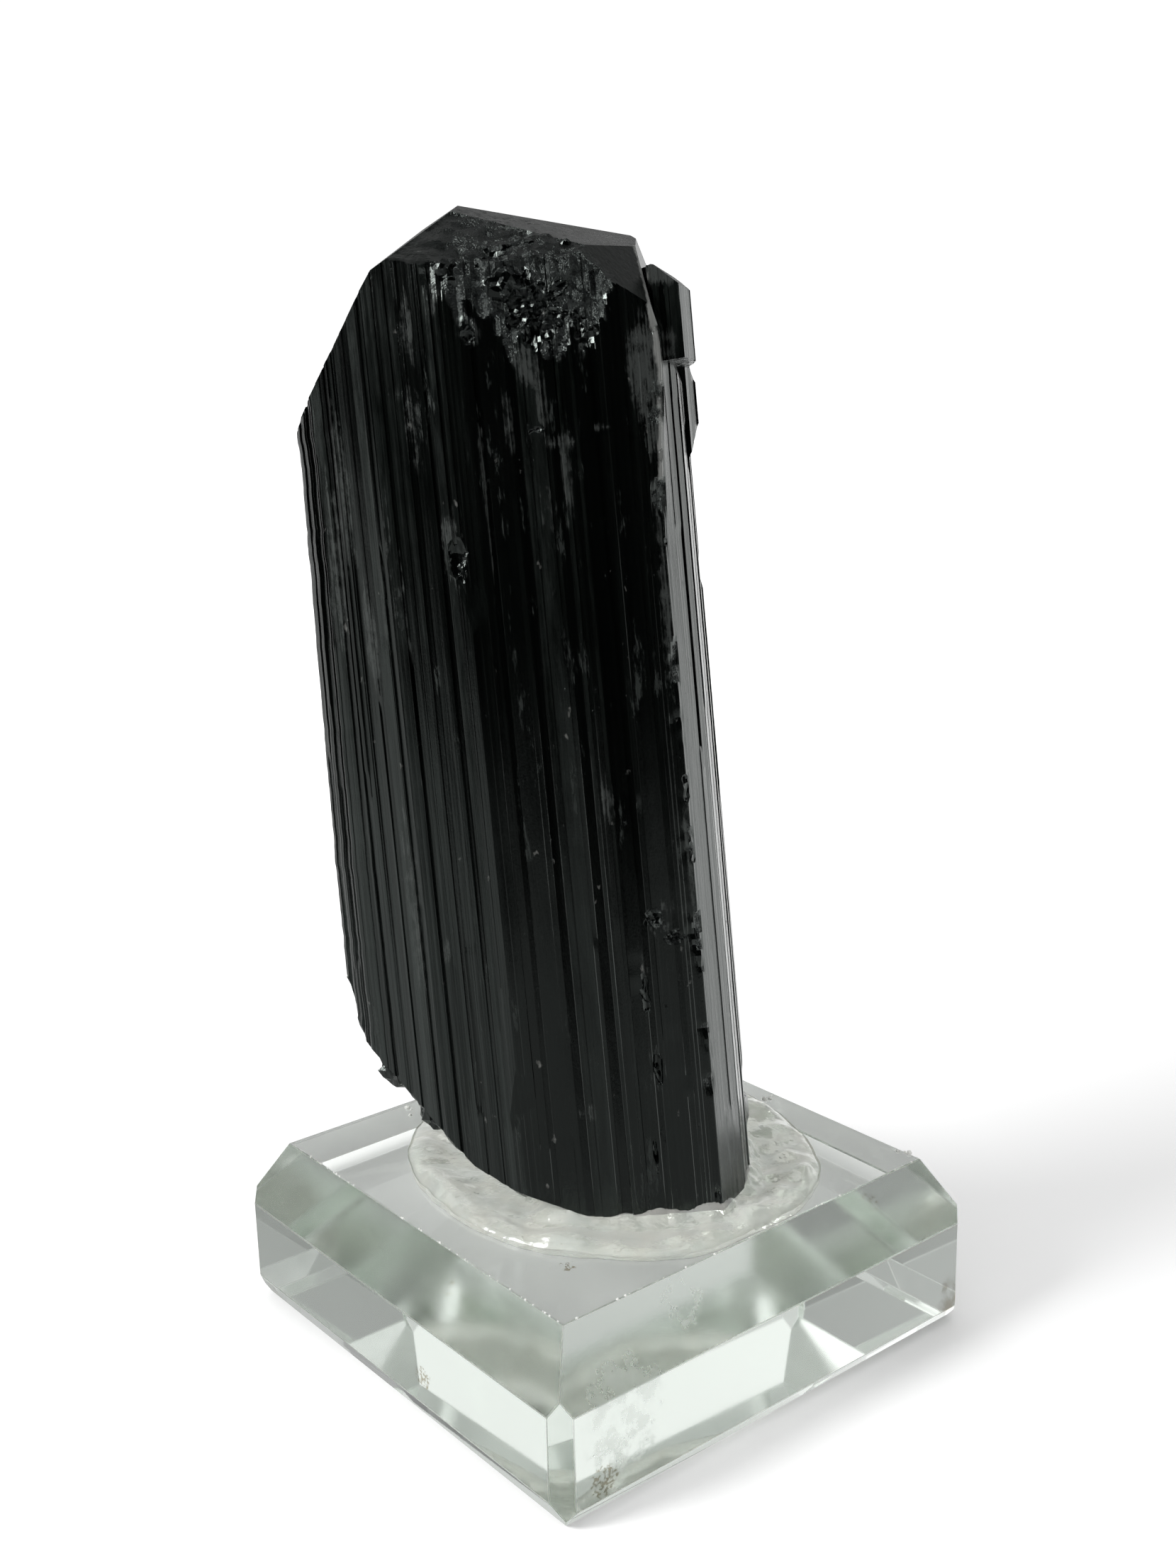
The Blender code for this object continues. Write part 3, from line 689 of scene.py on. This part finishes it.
def blob(centre, radii, seed, fine):
    # one broken lump, as a guide to add or to cut with
    bm = bmesh.new()
    place = Matrix.Translation(Vector(centre) * mm) @ Matrix.Diagonal((*[r * mm for r in radii], 1))
    made = bmesh.ops.create_icosphere(bm, subdivisions=fine, radius=1.0, matrix=place)
    middle = Vector(centre) * mm
    for vert in made["verts"]:
        off = vert.co - middle
        p = off / mm
        rough = 0.38 * noise.noise(Vector(seed) + p * 1.1)
        rough += 0.12 * noise.noise(Vector(seed) + p * 2.7) + 0.10 * (noise.voronoi(p * 1.9)[0][0] - 0.4)
        vert.co = middle + off * (1.0 + rough)
    return bm


def sideCrystal(spec, seed):
    corners, (low, high), azimuth, *slopes = spec
    if len(corners) == 3:
        (u, w), (across, deep), turned = corners
        ways = [radians(turn) for turn in range(turned, turned + 360, 60)]
        corners = [(u + across / 2 * cos(a), w + deep / 2 * sin(a)) for a in ways]
    u, w = sum((Vector(c) for c in corners), Vector((0, 0))) / len(corners)
    rows, strips = growthColumns(list(corners), crystal["sideStrips"], seed)
    bm, tag = prismMesh(rows, low - 6, high + 6, max(8, round((high - low + 12) / 0.8)))
    displaced(bm, tag, rows, strips, seed)
    for steep in (crystal["bluntSlope"], slopes[0]):
        cutAway(bm, Vector((u, w, high)) * mm, slopeNormal(azimuth, steep))
    for steep in (min(crystal["bluntSlope"], slopes[1]), slopes[1]):
        under = slopeNormal(azimuth, steep)
        cutAway(bm, Vector((u, w, low)) * mm, Vector((under.x, under.y, -under.z)))
    return bm


def carve(item, guides):
    # joins or cuts with each guide in turn, then keeps the result as the piece's own mesh
    helpers = []
    for number, (bm, operation) in enumerate(guides):
        bmesh.ops.recalc_face_normals(bm, faces=bm.faces)
        helper = newItem(f"guide_{number}", newMesh("guide", bm))
        step = item.modifiers.new(f"step {number}", "BOOLEAN")
        step.solver = "MANIFOLD"
        step.operation = operation
        step.object = helper
        helpers.append(helper)
    bpy.context.view_layer.update()
    shaped = bpy.data.meshes.new_from_object(item.evaluated_get(bpy.context.evaluated_depsgraph_get()))
    item.modifiers.clear()
    item.data = shaped
    for helper in helpers:
        bpy.data.objects.remove(helper, do_unlink=True)


def endDepth(p):
    # how rough the front break is: most below the top face, little towards the left
    return 0.14 + 0.30 * ease(-6.5, -2.5, p.x) * ease(10.5, 7.5, p.x)


def paintZones(mesh):
    # broken: chipped or fractured. ending: the smooth faces at the top
    broken = mesh.attributes.new("broken", "FLOAT", "FACE")
    ending = mesh.attributes.new("ending", "FLOAT", "FACE")
    smooth = [slopeNormal(a, t) for k, (a, t, p) in enumerate(crystal["endFaces"]) if k != crystal["brokenEnd"]]
    for face in mesh.polygons:
        normal = face.normal
        side = abs(normal.z) < 0.3
        top = any(normal.dot(n) > 0.9995 for n in smooth)
        ending.data[face.index].value = float(top)
        broken.data[face.index].value = float(not side and not top)


def makeCrystal(material):
    rows, strips = growthColumns(list(crystal["section"]), crystal["sides"], crystal["seed"], crystal["marks"])
    bm, tag = prismMesh(rows, crystal["low"], crystal["high"], crystal["levels"] // (1))
    print("crystal columns", len(rows), "verts", len(bm.verts))
    displaced(bm, tag, rows, strips, crystal["seed"], True)
    zone = bm.faces.layers.int.new("zone")
    endZone, footZone = 10, 20
    for number, (azimuth, steepness, point) in enumerate(crystal["endFaces"]):
        for face in cutAway(bm, Vector(point) * mm, slopeNormal(azimuth, steepness)):
            face[zone] = endZone + number
    level = crystalPlace().inverted()
    down = (level.to_3x3() @ Vector((0, 0, -1))).normalized()
    flat = Vector(crystal["foot"]) * mm + Vector((0, 0, crystal["footLift"] * mm))
    cutAway(bm, level @ flat, down)
    breaks = []
    for number, (azimuth, steepness, point) in enumerate(crystal["footBreaks"]):
        normal = slopeNormal(azimuth, steepness)
        normal.z = -normal.z
        breaks.append(normal)
        for face in cutAway(bm, Vector(point) * mm, normal):
            face[zone] = footZone + number
    front = slopeNormal(*crystal["endFaces"][crystal["brokenEnd"]][:2])
    mark = endZone + crystal["brokenEnd"]
    sliceZone(bm, zone, mark, front, crystal["netFine"][0])
    roughen(bm, zone, mark, front, endDepth)
    for mark, normal in enumerate(breaks, footZone):
        sliceZone(bm, zone, mark, normal, crystal["netFine"][1])
        roughen(bm, zone, mark, normal, lambda p: crystal["footDepth"])
    print("crystal cut", len(bm.verts))
    bmesh.ops.recalc_face_normals(bm, faces=bm.faces)
    piece = addPiece("crystal_body", bm, material)
    guides = [(sideCrystal(spec, 50 + k), "UNION") for k, spec in enumerate(crystal["sideCrystals"])]
    guides += [(blob(c, r, (3, k, 0), 3), "UNION") for k, (c, r) in enumerate(crystal["lumps"])]
    guides += [
        (blob(c, r, (7, k, 0), 5 if k < 2 else 4), "DIFFERENCE") for k, (c, r) in enumerate(crystal["hollows"])
    ]
    carve(piece, guides)
    paintZones(piece.data)
    piece.data.transform(crystalPlace())
    piece.data.shade_smooth()
    piece.data.set_sharp_from_angle(angle=radians(14))
    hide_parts("crystal")
    print("crystal faces", len(piece.data.polygons))
    return piece


def tourmalineMaterial():
    material, tree, shader, look = newMaterial("black tourmaline", 1.64)
    shader.inputs["Specular Tint"].default_value = crystal["tint"]
    place = crystalPlace()
    stand = {"Vector": look, "Location": place.to_translation(), "Rotation": place.to_euler()}
    local = addNode(tree, "Mapping", {"vector_type": "TEXTURE"}, stand).outputs[0]
    sides = addNode(tree, "SeparateXYZ", None, {0: local}).outputs
    field = {name: noiseAt(tree, local, *spec) for name, spec in crystal["fields"].items()}
    tones, ragged, streaks, fine = crystal["tones"], field["ragged"], field["streaks"], field["fine"]
    chipped = span(tree, calc(tree, "ADD", attribute(tree, "chip"), ragged), 0.28, 0.7)
    broken = calc(tree, "MAXIMUM", attribute(tree, "broken"), chipped)
    broken = times(tree, broken, span(tree, sides["X"], *crystal["dullLeft"]))
    # satin where the growth lines are close, glassy between, matt on breaks
    haze = times(tree, attribute(tree, "haze"), field["mottle"])
    scars = times(tree, span(tree, field["scars"], *crystal["scars"][:2]), crystal["scars"][2])
    haze = calc(tree, "MAXIMUM", haze, scars)
    patchy = calc(tree, "MULTIPLY_ADD", ragged, 0.55, times(tree, fine, 0.5))
    worn = span(tree, calc(tree, "ADD", attribute(tree, "worn"), patchy), 0.34, 0.72)
    worn = calc(tree, "MAXIMUM", worn, times(tree, scars, 0.4))
    spoilt = calc(tree, "MAXIMUM", broken, worn)
    rough = calc(tree, "MULTIPLY_ADD", streaks, 0.07, 0.07)
    dulled = ((haze, 0.22), (field["clouds"], 0.05), (attribute(tree, "ending"), 0.16), (spoilt, 0.12))
    for part, amount in dulled:
        rough = calc(tree, "MULTIPLY_ADD", part, amount, rough)
    body = blend(tree, streaks, tones["deep"], tones["streaked"])
    body = blend(tree, haze, body, tones["hazy"])
    body = blend(tree, times(tree, span(tree, fine, -0.1, 0.4), 0.35, haze), body, tones["lined"])
    across, up = span(tree, sides["X"], *crystal["hairsAcross"]), span(tree, sides["Z"], *crystal["hairsUp"])
    hairs = times(tree, field["hairs"], across, up)
    for part, name in ((hairs, "hairs"), (worn, "worn"), (broken, "broken")):
        body = blend(tree, part, body, tones[name])
    # painted highlight: a light line along the frayed arrises, painted into the colour
    width = crystal["frayedHighlightWidth"] * mm
    corners = [Vector(corner) * mm for corner in crystal["frayedHighlight"]]
    for start, end in zip(corners, corners[1:]):
        off = vector(tree, "SUBTRACT", local, start).outputs[0]
        across = vector(tree, "CROSS_PRODUCT", off, (end - start).normalized()).outputs[0]
        away = vector(tree, "LENGTH", across).outputs["Value"]
        light = span(tree, calc(tree, "MULTIPLY_ADD", ragged, 0.3 * mm, away), width * 1.3, width * 0.6)
        above = span(tree, sides["Z"], end.z - 0.2 * mm, end.z + 0.1 * mm)
        below = span(tree, sides["Z"], start.z + 0.3 * mm, start.z)
        light = times(tree, light, above, below)
        body = blend(tree, light, body, tones["frayedHighlight"])
    body = blend(tree, field["dust"], body, tones["dust"])
    # broken places glitter with small facets turned every way
    scale, swivel = crystal["glitter"]
    cells = addNode(tree, "TexVoronoi", None, {"Vector": local, "Scale": scale}).outputs["Color"]
    centred = vector(tree, "SUBTRACT", cells, (0.5, 0.5, 0.5)).outputs[0]
    sparkle = times(tree, broken, span(tree, sides["X"], *crystal["glitterFrom"], 0.3, swivel))
    normal = addNode(tree, "NewGeometry").outputs["Normal"]
    facets = vector(tree, "MULTIPLY_ADD", centred, sparkle, normal).outputs[0]
    # each strip leans a little its own way along the axis
    swing = calc(tree, "ADD", attribute(tree, "lean"), field["swing"])
    axis = place.to_3x3() @ Vector((0, 0, 1))
    leaning = vector(tree, "MULTIPLY_ADD", axis * crystal["stripLean"], swing, facets).outputs[0]
    normal = vector(tree, "NORMALIZE", leaning).outputs[0]
    # uneven growth in low ragged waves drawn out along the axis, then fine lines, then grain on breaks
    bumps = (
        (field["waves"], 0.00009, 0.22), (streaks, 0.00006, span(tree, sides["X"], *crystal["lineDepth"])),
        (field["grain"], 0.0002, calc(tree, "MULTIPLY_ADD", broken, 0.5, 0.02)),
    )
    for height, distance, strength in bumps:
        bump = {"Height": height, "Distance": distance, "Strength": strength, "Normal": normal}
        normal = addNode(tree, "Bump", None, bump).outputs[0]
    wire(tree, shader, {"Base Color": body, "Roughness": rough, "Normal": normal})
    return material


block = {
    "side": 50.8,
    "bevelIn": 3.4,
    "bevelDown": 6.2,
    "cornerCut": 1.57,
    # under each side: its azimuth, the bevel's width and height
    "footBevels": ((270, 1.4, 2.6), (0, 1.2, 1.7), (90, 1.3, 2.0), (180, 1.2, 2.2)),
    "arris": 0.16,
    "tint": (0.80, 0.868, 0.805, 1),
    "density": 16.0,
    "polish": (0.015, 0.05),  # roughness, least and most, and what the bevels add
    "bevelPolish": (0.12, 0.19),
    # scuffed and dirty places: position, reach, how fine, and where their noise starts and is full
    "scuffs": (((25.4, -18.5, 8.5), 9.0, 700, 0.30, 0.60), ((24.0, -10.0, 15.0), 6.0, 500, 0.46, 0.72)),
    "dirt": (
        ((25.4, -20.8, 3.4), 3.4, 2400, 0.47, 0.55), ((5.8, -25.4, 5.4), 2.6, 2400, 0.47, 0.55),
        ((25.4, 23.4, 3.0), 4.5, 600, 0.34, 0.60), ((15.0, -16.0, 16.8), 1.8, 2600, 0.50, 0.58),
        ((7.5, -22.5, 14.0), 3.0, 2600, 0.54, 0.60), ((22.5, 14.0, 15.0), 3.0, 2600, 0.55, 0.61),
    ),
    "dirtTone": (0.30, 0.24, 0.16),
    "flakes": 70,  # white crumbs along the upper edges and behind the crystal
    "crumbs": ((2.5, 20.5), (20.5, 21.7), (-20.0, -9.0)),
    "crumbTones": ((0.80, 0.81, 0.77), (0.93, 0.93, 0.90)),
}


def makeBlock(material):
    half = block["side"] / 2
    bm = bmesh.new()
    bmesh.ops.create_cube(bm, size=1.0)
    bmesh.ops.scale(bm, vec=Vector((block["side"], block["side"], blockTop)) * mm, verts=bm.verts)
    bmesh.ops.translate(bm, vec=(0, 0, blockTop / 2 * mm), verts=bm.verts)
    upright = [e for e in bm.edges if abs(e.verts[0].co.z - e.verts[1].co.z) > blockTop / 2 * mm]
    cut = {"affect": "EDGES", "profile": 0.5, "material": -1}
    bmesh.ops.bevel(bm, geom=upright, offset=block["cornerCut"] * mm, segments=1, **cut)
    steep = degrees(atan2(block["bevelDown"], block["bevelIn"]))
    for azimuth, inset, height in block["footBevels"]:
        side = Vector((cos(radians(azimuth)), sin(radians(azimuth)), 0))
        edge = side * (half - block["bevelIn"]) + Vector((0, 0, blockTop))
        cutAway(bm, edge * mm, slopeNormal(azimuth, steep))
        lower = slopeNormal(azimuth, degrees(atan2(height, inset)))
        lower.z = -lower.z
        cutAway(bm, side * (half - inset) * mm, lower)
    arris = bm.faces.layers.float.new("arris")
    bevelled = bm.faces.layers.float.new("bevelled")
    for face in bm.faces:
        face[bevelled] = float(0.2 < face.normal.z < 0.9)
    rounded = bmesh.ops.bevel(bm, geom=bm.edges[:], offset=block["arris"] * mm / 2, segments=2, **cut)
    for face in rounded["faces"]:
        face[arris] = 1.0
    bmesh.ops.recalc_face_normals(bm, faces=bm.faces)
    piece = addPiece("display_block", bm, material)
    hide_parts("base")
    return piece


def near(tree, coords, place, reach, fine, low, high):
    # a patch with a ragged outline around one place
    away = vector(tree, "DISTANCE", coords, Vector(place) * mm).outputs["Value"]
    inside = span(tree, away, reach * mm, reach * 0.3 * mm)
    speck = noiseAt(tree, coords, (fine, fine, fine), 5.0, roughness=0.65)
    return span(tree, times(tree, inside, speck), low, high)


def glassMaterial():
    material, tree, shader, look = newMaterial("clear glass", 1.52, 1.0)
    haze = noiseAt(tree, look, (90, 90, 90), 4.0, 0.35, 0.7, *block["polish"])
    rubbed = noiseAt(tree, look, (260, 260, 900), 5.0, 0.35, 0.7, *block["bevelPolish"])
    rough = calc(tree, "MULTIPLY_ADD", attribute(tree, "bevelled"), rubbed, haze)
    for scuff in block["scuffs"]:
        rough = calc(tree, "MULTIPLY_ADD", near(tree, look, *scuff), 0.3, rough)
    rough = calc(tree, "MULTIPLY_ADD", attribute(tree, "arris"), 0.35, rough)
    tint = (1.0, 1.0, 1.0)
    for dirt in block["dirt"]:
        tint = blend(tree, near(tree, look, *dirt), tint, block["dirtTone"])
    wire(tree, shader, {"Base Color": tint, "Roughness": rough})
    inner = {"Color": block["tint"], "Density": block["density"]}
    body = addNode(tree, "VolumeAbsorption", None, inner)
    tree.links.new(body.outputs[0], tree.nodes["Material Output"].inputs["Volume"])
    return material


glue = {
    "centre": (0.6, 0.4),
    "radius": 19.9,
    # the rim's swing: once round (amount, degrees) and twice round, mm
    "once": (0.7, -10.0),
    "twice": (1.3, 0.0),
    "limit": 21.75,  # it stops at the block's upper edge
    # from the rim inwards: distance in, height above the block
    "profile": (
        (0.0, -0.1), (0.05, 0.28), (0.3, 0.66), (0.9, 0.98), (1.7, 1.12), (2.7, 0.92), (3.9, 0.62), (5.4, 0.5),
    ),
    "turns": 360,
    "rings": 72,
    "clear": 0.75,
    "tones": ((0.96, 0.98, 0.94), (1.0, 0.99, 0.93)),
    "speckTone": (0.30, 0.27, 0.20),
    "gloss": (0.03, 0.20),
    "collarTop": 1.5,
    "collarReach": 1.5,
    "collarLeft": -5.0,
    # lumps and dents: place, reach, height
    "lumps": (
        ((17.5, 10.2), 1.7, 0.75), ((14.2, 11.6), 1.3, 0.6), ((18.7, 5.6), 1.4, 0.5), ((20.0, 1.4), 1.6, 0.45),
        ((9.4, 14.4), 1.8, 0.7), ((20.0, -4.0), 1.8, 0.3), ((12.0, -15.4), 2.2, 0.35), ((5.6, 17.4), 1.6, 0.5),
        ((16.4, 7.6), 1.0, -0.5), ((12.6, 13.8), 0.9, -0.5), ((-5.0, -15.8), 2.4, 0.3), ((18.6, 8.2), 0.7, -0.45),
        ((4.0, -16.8), 1.6, -0.3), ((9.0, -15.6), 1.3, -0.25), ((19.4, -8.4), 1.7, -0.25),
    ),
    "moat": (0.14, 1.0, 3.4),  # height left of the crystal, between these distances from its section
}


def sectionGap(u, w):
    # distance outside the crystal's section, mm (negative inside)
    corners = [Vector(c) for c in crystal["section"]]
    best = -1e9
    for a, b in zip(corners, corners[1:] + corners[:1]):
        way = (b - a).normalized()
        best = max(best, (Vector((u, w)) - a).dot(Vector((way.y, -way.x))))
    return best


def glueReach(angle):
    once, twice = glue["once"], glue["twice"]
    swing = once[0] * cos(angle - radians(once[1]))
    swing += twice[0] * cos(2 * angle - radians(twice[1]))
    around = Vector((2.6 * cos(angle), 2.6 * sin(angle), 0.7))
    swing += 0.5 * noise.noise(around) + 0.16 * noise.noise(around * 4.0)
    edge = glue["limit"] / max(1e-6, abs(cos(angle)), abs(sin(angle))) - abs(glue["centre"][0])
    return min(glue["radius"] + swing, edge)


def glueHeight(inwards, angle, point, level):
    profile = glue["profile"]
    around = Vector((cos(angle), sin(angle), 0.0))
    lift = 1.0 + 0.45 * noise.noise(around * 3.0 + Vector((0, 0, 4.0))) + 0.3 * noise.noise(around * 8.0)
    height = profile[-1][1]
    for (p0, h0), (p1, h1) in zip(profile, profile[1:]):
        if p0 <= inwards <= p1:
            height = h0 + (h1 - h0) * (inwards - p0) / (p1 - p0)
            break
    height *= lift
    local = level @ (Vector((point.x, point.y, blockTop + 1.5)) * mm)
    u, w = local.x / mm, local.y / mm
    gap = sectionGap(u, w)
    inside = ease(0.3, 1.2, inwards)
    low, start, end = glue["moat"]
    moat = ease(-4.0, -8.5, u) * ease(start + 2.6, start, abs(gap - (end + start) / 2))
    moat *= ease(1.5, 3.0, inwards)
    height += (low - height) * moat
    climb = glue["collarTop"] * exp(-max(0.0, gap) / glue["collarReach"] * 1.3)
    climb *= ease(glue["collarLeft"] - 3.0, glue["collarLeft"] + 3.0, u)
    climb *= 1.0 + 0.5 * ripple(u * 0.32, w * 0.32, 5.0)
    height = max(height, climb)
    for place, reach, amount in glue["lumps"]:
        away = (Vector((point.x, point.y)) - Vector(place)).length / reach
        height += amount * exp(-away * away * 1.6) * inside
    # drawn out ridges and small bubbles
    height += inside * 0.16 * (0.5 - abs(ripple(point.x * 0.26, point.y * 0.3, 2.0)) * 2.2)
    height += inside * (0.20 * noise.noise(point * 0.38) + 0.07 * noise.noise(point * 0.95))
    # a thin drawn up edge where the glue was pulled away from the crystal
    drawn = 0.35 * ease(0.9, 0.25, abs(gap - 0.55)) * (0.5 + noise.noise(point * 0.8))
    height += drawn * ease(-6.0, -2.0, u)
    return max(height, 0.05 if inwards > 0.1 else -0.1)


def makeGlue(material):
    bm = bmesh.new()
    level = crystalPlace().inverted()
    centre = Vector((*glue["centre"], 0))
    shares = [1 - (k / glue["rings"]) ** 1.25 for k in range(glue["rings"] + 1)]
    start = [bm.verts.new((glue["radius"] * mm * share, 0, 0)) for share in shares]
    for a, b in zip(start, start[1:]):
        bm.edges.new((a, b))
    foot = bm.verts.new((0, 0, -0.1 * mm))
    rim = bm.verts.new((glue["radius"] * mm, 0, -0.1 * mm))
    bm.edges.new((start[0], rim))
    bm.edges.new((rim, foot))
    sweep = {"cent": (0, 0, 0), "axis": (0, 0, 1), "angle": 2 * pi, "steps": glue["turns"]}
    bmesh.ops.spin(bm, geom=bm.verts[:] + bm.edges[:], use_merge=True, **sweep)
    bmesh.ops.remove_doubles(bm, verts=bm.verts, dist=1e-6)
    bmesh.ops.recalc_face_normals(bm, faces=bm.faces)
    for vert in bm.verts:
        x, y, z = vert.co / mm
        r = hypot(x, y)
        angle = atan2(y, x)
        reach = glueReach(angle)
        point = centre + Vector((x, y, 0)) * reach / glue["radius"]
        if z < -0.05:
            height = -0.1
        else:
            height = glueHeight(reach * (1 - r / glue["radius"]), angle, point, level)
        vert.co = Vector((point.x, point.y, blockTop + height)) * mm
    piece = addPiece("glue_puddle", bm, material, sharp=60)
    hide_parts("glue")
    return piece


def glueMaterial():
    material, tree, shader, look = newMaterial("milky glue", 1.47, glue["clear"])
    cloud = noiseAt(tree, look, (420, 420, 420), 4.0, 0.35, 0.65)
    specks = noiseAt(tree, look, (2300, 2300, 2300), 3.0, 0.72, 0.78)
    body = blend(tree, specks, blend(tree, cloud, *glue["tones"]), glue["speckTone"])
    rough = noiseAt(tree, look, (260, 260, 260), 3.0, 0.3, 0.7, *glue["gloss"])
    lumps = noiseAt(tree, look, (900, 900, 900), 3.0, 0.3, 0.7)
    bump = addNode(tree, "Bump", None, {"Height": lumps, "Strength": 0.3, "Distance": 0.00014})
    wire(tree, shader, {"Base Color": body, "Roughness": rough, "Normal": bump.outputs[0]})
    return material


def crumbMaterial():
    material, tree, shader, look = newMaterial("white crumbs", 1.47, 0.35)
    tone = noiseAt(tree, look, (900, 900, 900), 3.0, 0.35, 0.65)
    rough = noiseAt(tree, look, (2600, 2600, 2600), 3.0, 0.3, 0.7, 0.35, 0.7)
    wire(tree, shader, {"Base Color": blend(tree, tone, *block["crumbTones"]), "Roughness": rough})
    return material


def makeCrumbs(material):
    # crumbs of glue and glass left along the block's upper edges and in small heaps
    dice = random.Random(31)
    half = block["side"] / 2 - block["bevelIn"]
    bm = bmesh.new()
    for n in range(block["flakes"]):
        size = dice.uniform(0.05, 0.13)
        run = dice.uniform(-half, half)
        edge = (run, -half) if n % 5 < 3 else (half, run)
        if n % 7 == 0:
            heap = dice.choice(block["crumbs"])
            size *= 2.2
            edge = (heap[0] + dice.gauss(0, 0.9), heap[1] + dice.gauss(0, 0.4))
        middle = Vector((edge[0], edge[1], blockTop + size * 0.3)) * mm
        place = Matrix.Translation(middle)
        made = bmesh.ops.create_icosphere(bm, subdivisions=2, radius=size * mm, matrix=place)
        for vert in made["verts"]:
            off = vert.co - middle
            vert.co = middle + off * (1 + 0.5 * noise.noise(off / mm * 6 + Vector((n, 0, 0))))
            vert.co.z = max(vert.co.z, (blockTop - 0.02) * mm)
    return addPiece("glue_crumbs", bm, material, sharp=40)


makeCamera()
makeWorld()
makeLights()
makeFloor()
print("studio ready")
makeCrystal(tourmalineMaterial())
makeBlock(glassMaterial())
makeGlue(glueMaterial())
makeCrumbs(crumbMaterial())
print("pieces ready")

render = bpy.context.scene
render.view_settings.view_transform = "Standard"
render.view_settings.look = "None"
render.cycles.max_bounces = 24
render.cycles.transmission_bounces = 24
render.cycles.glossy_bounces = 12
render.cycles.diffuse_bounces = 4
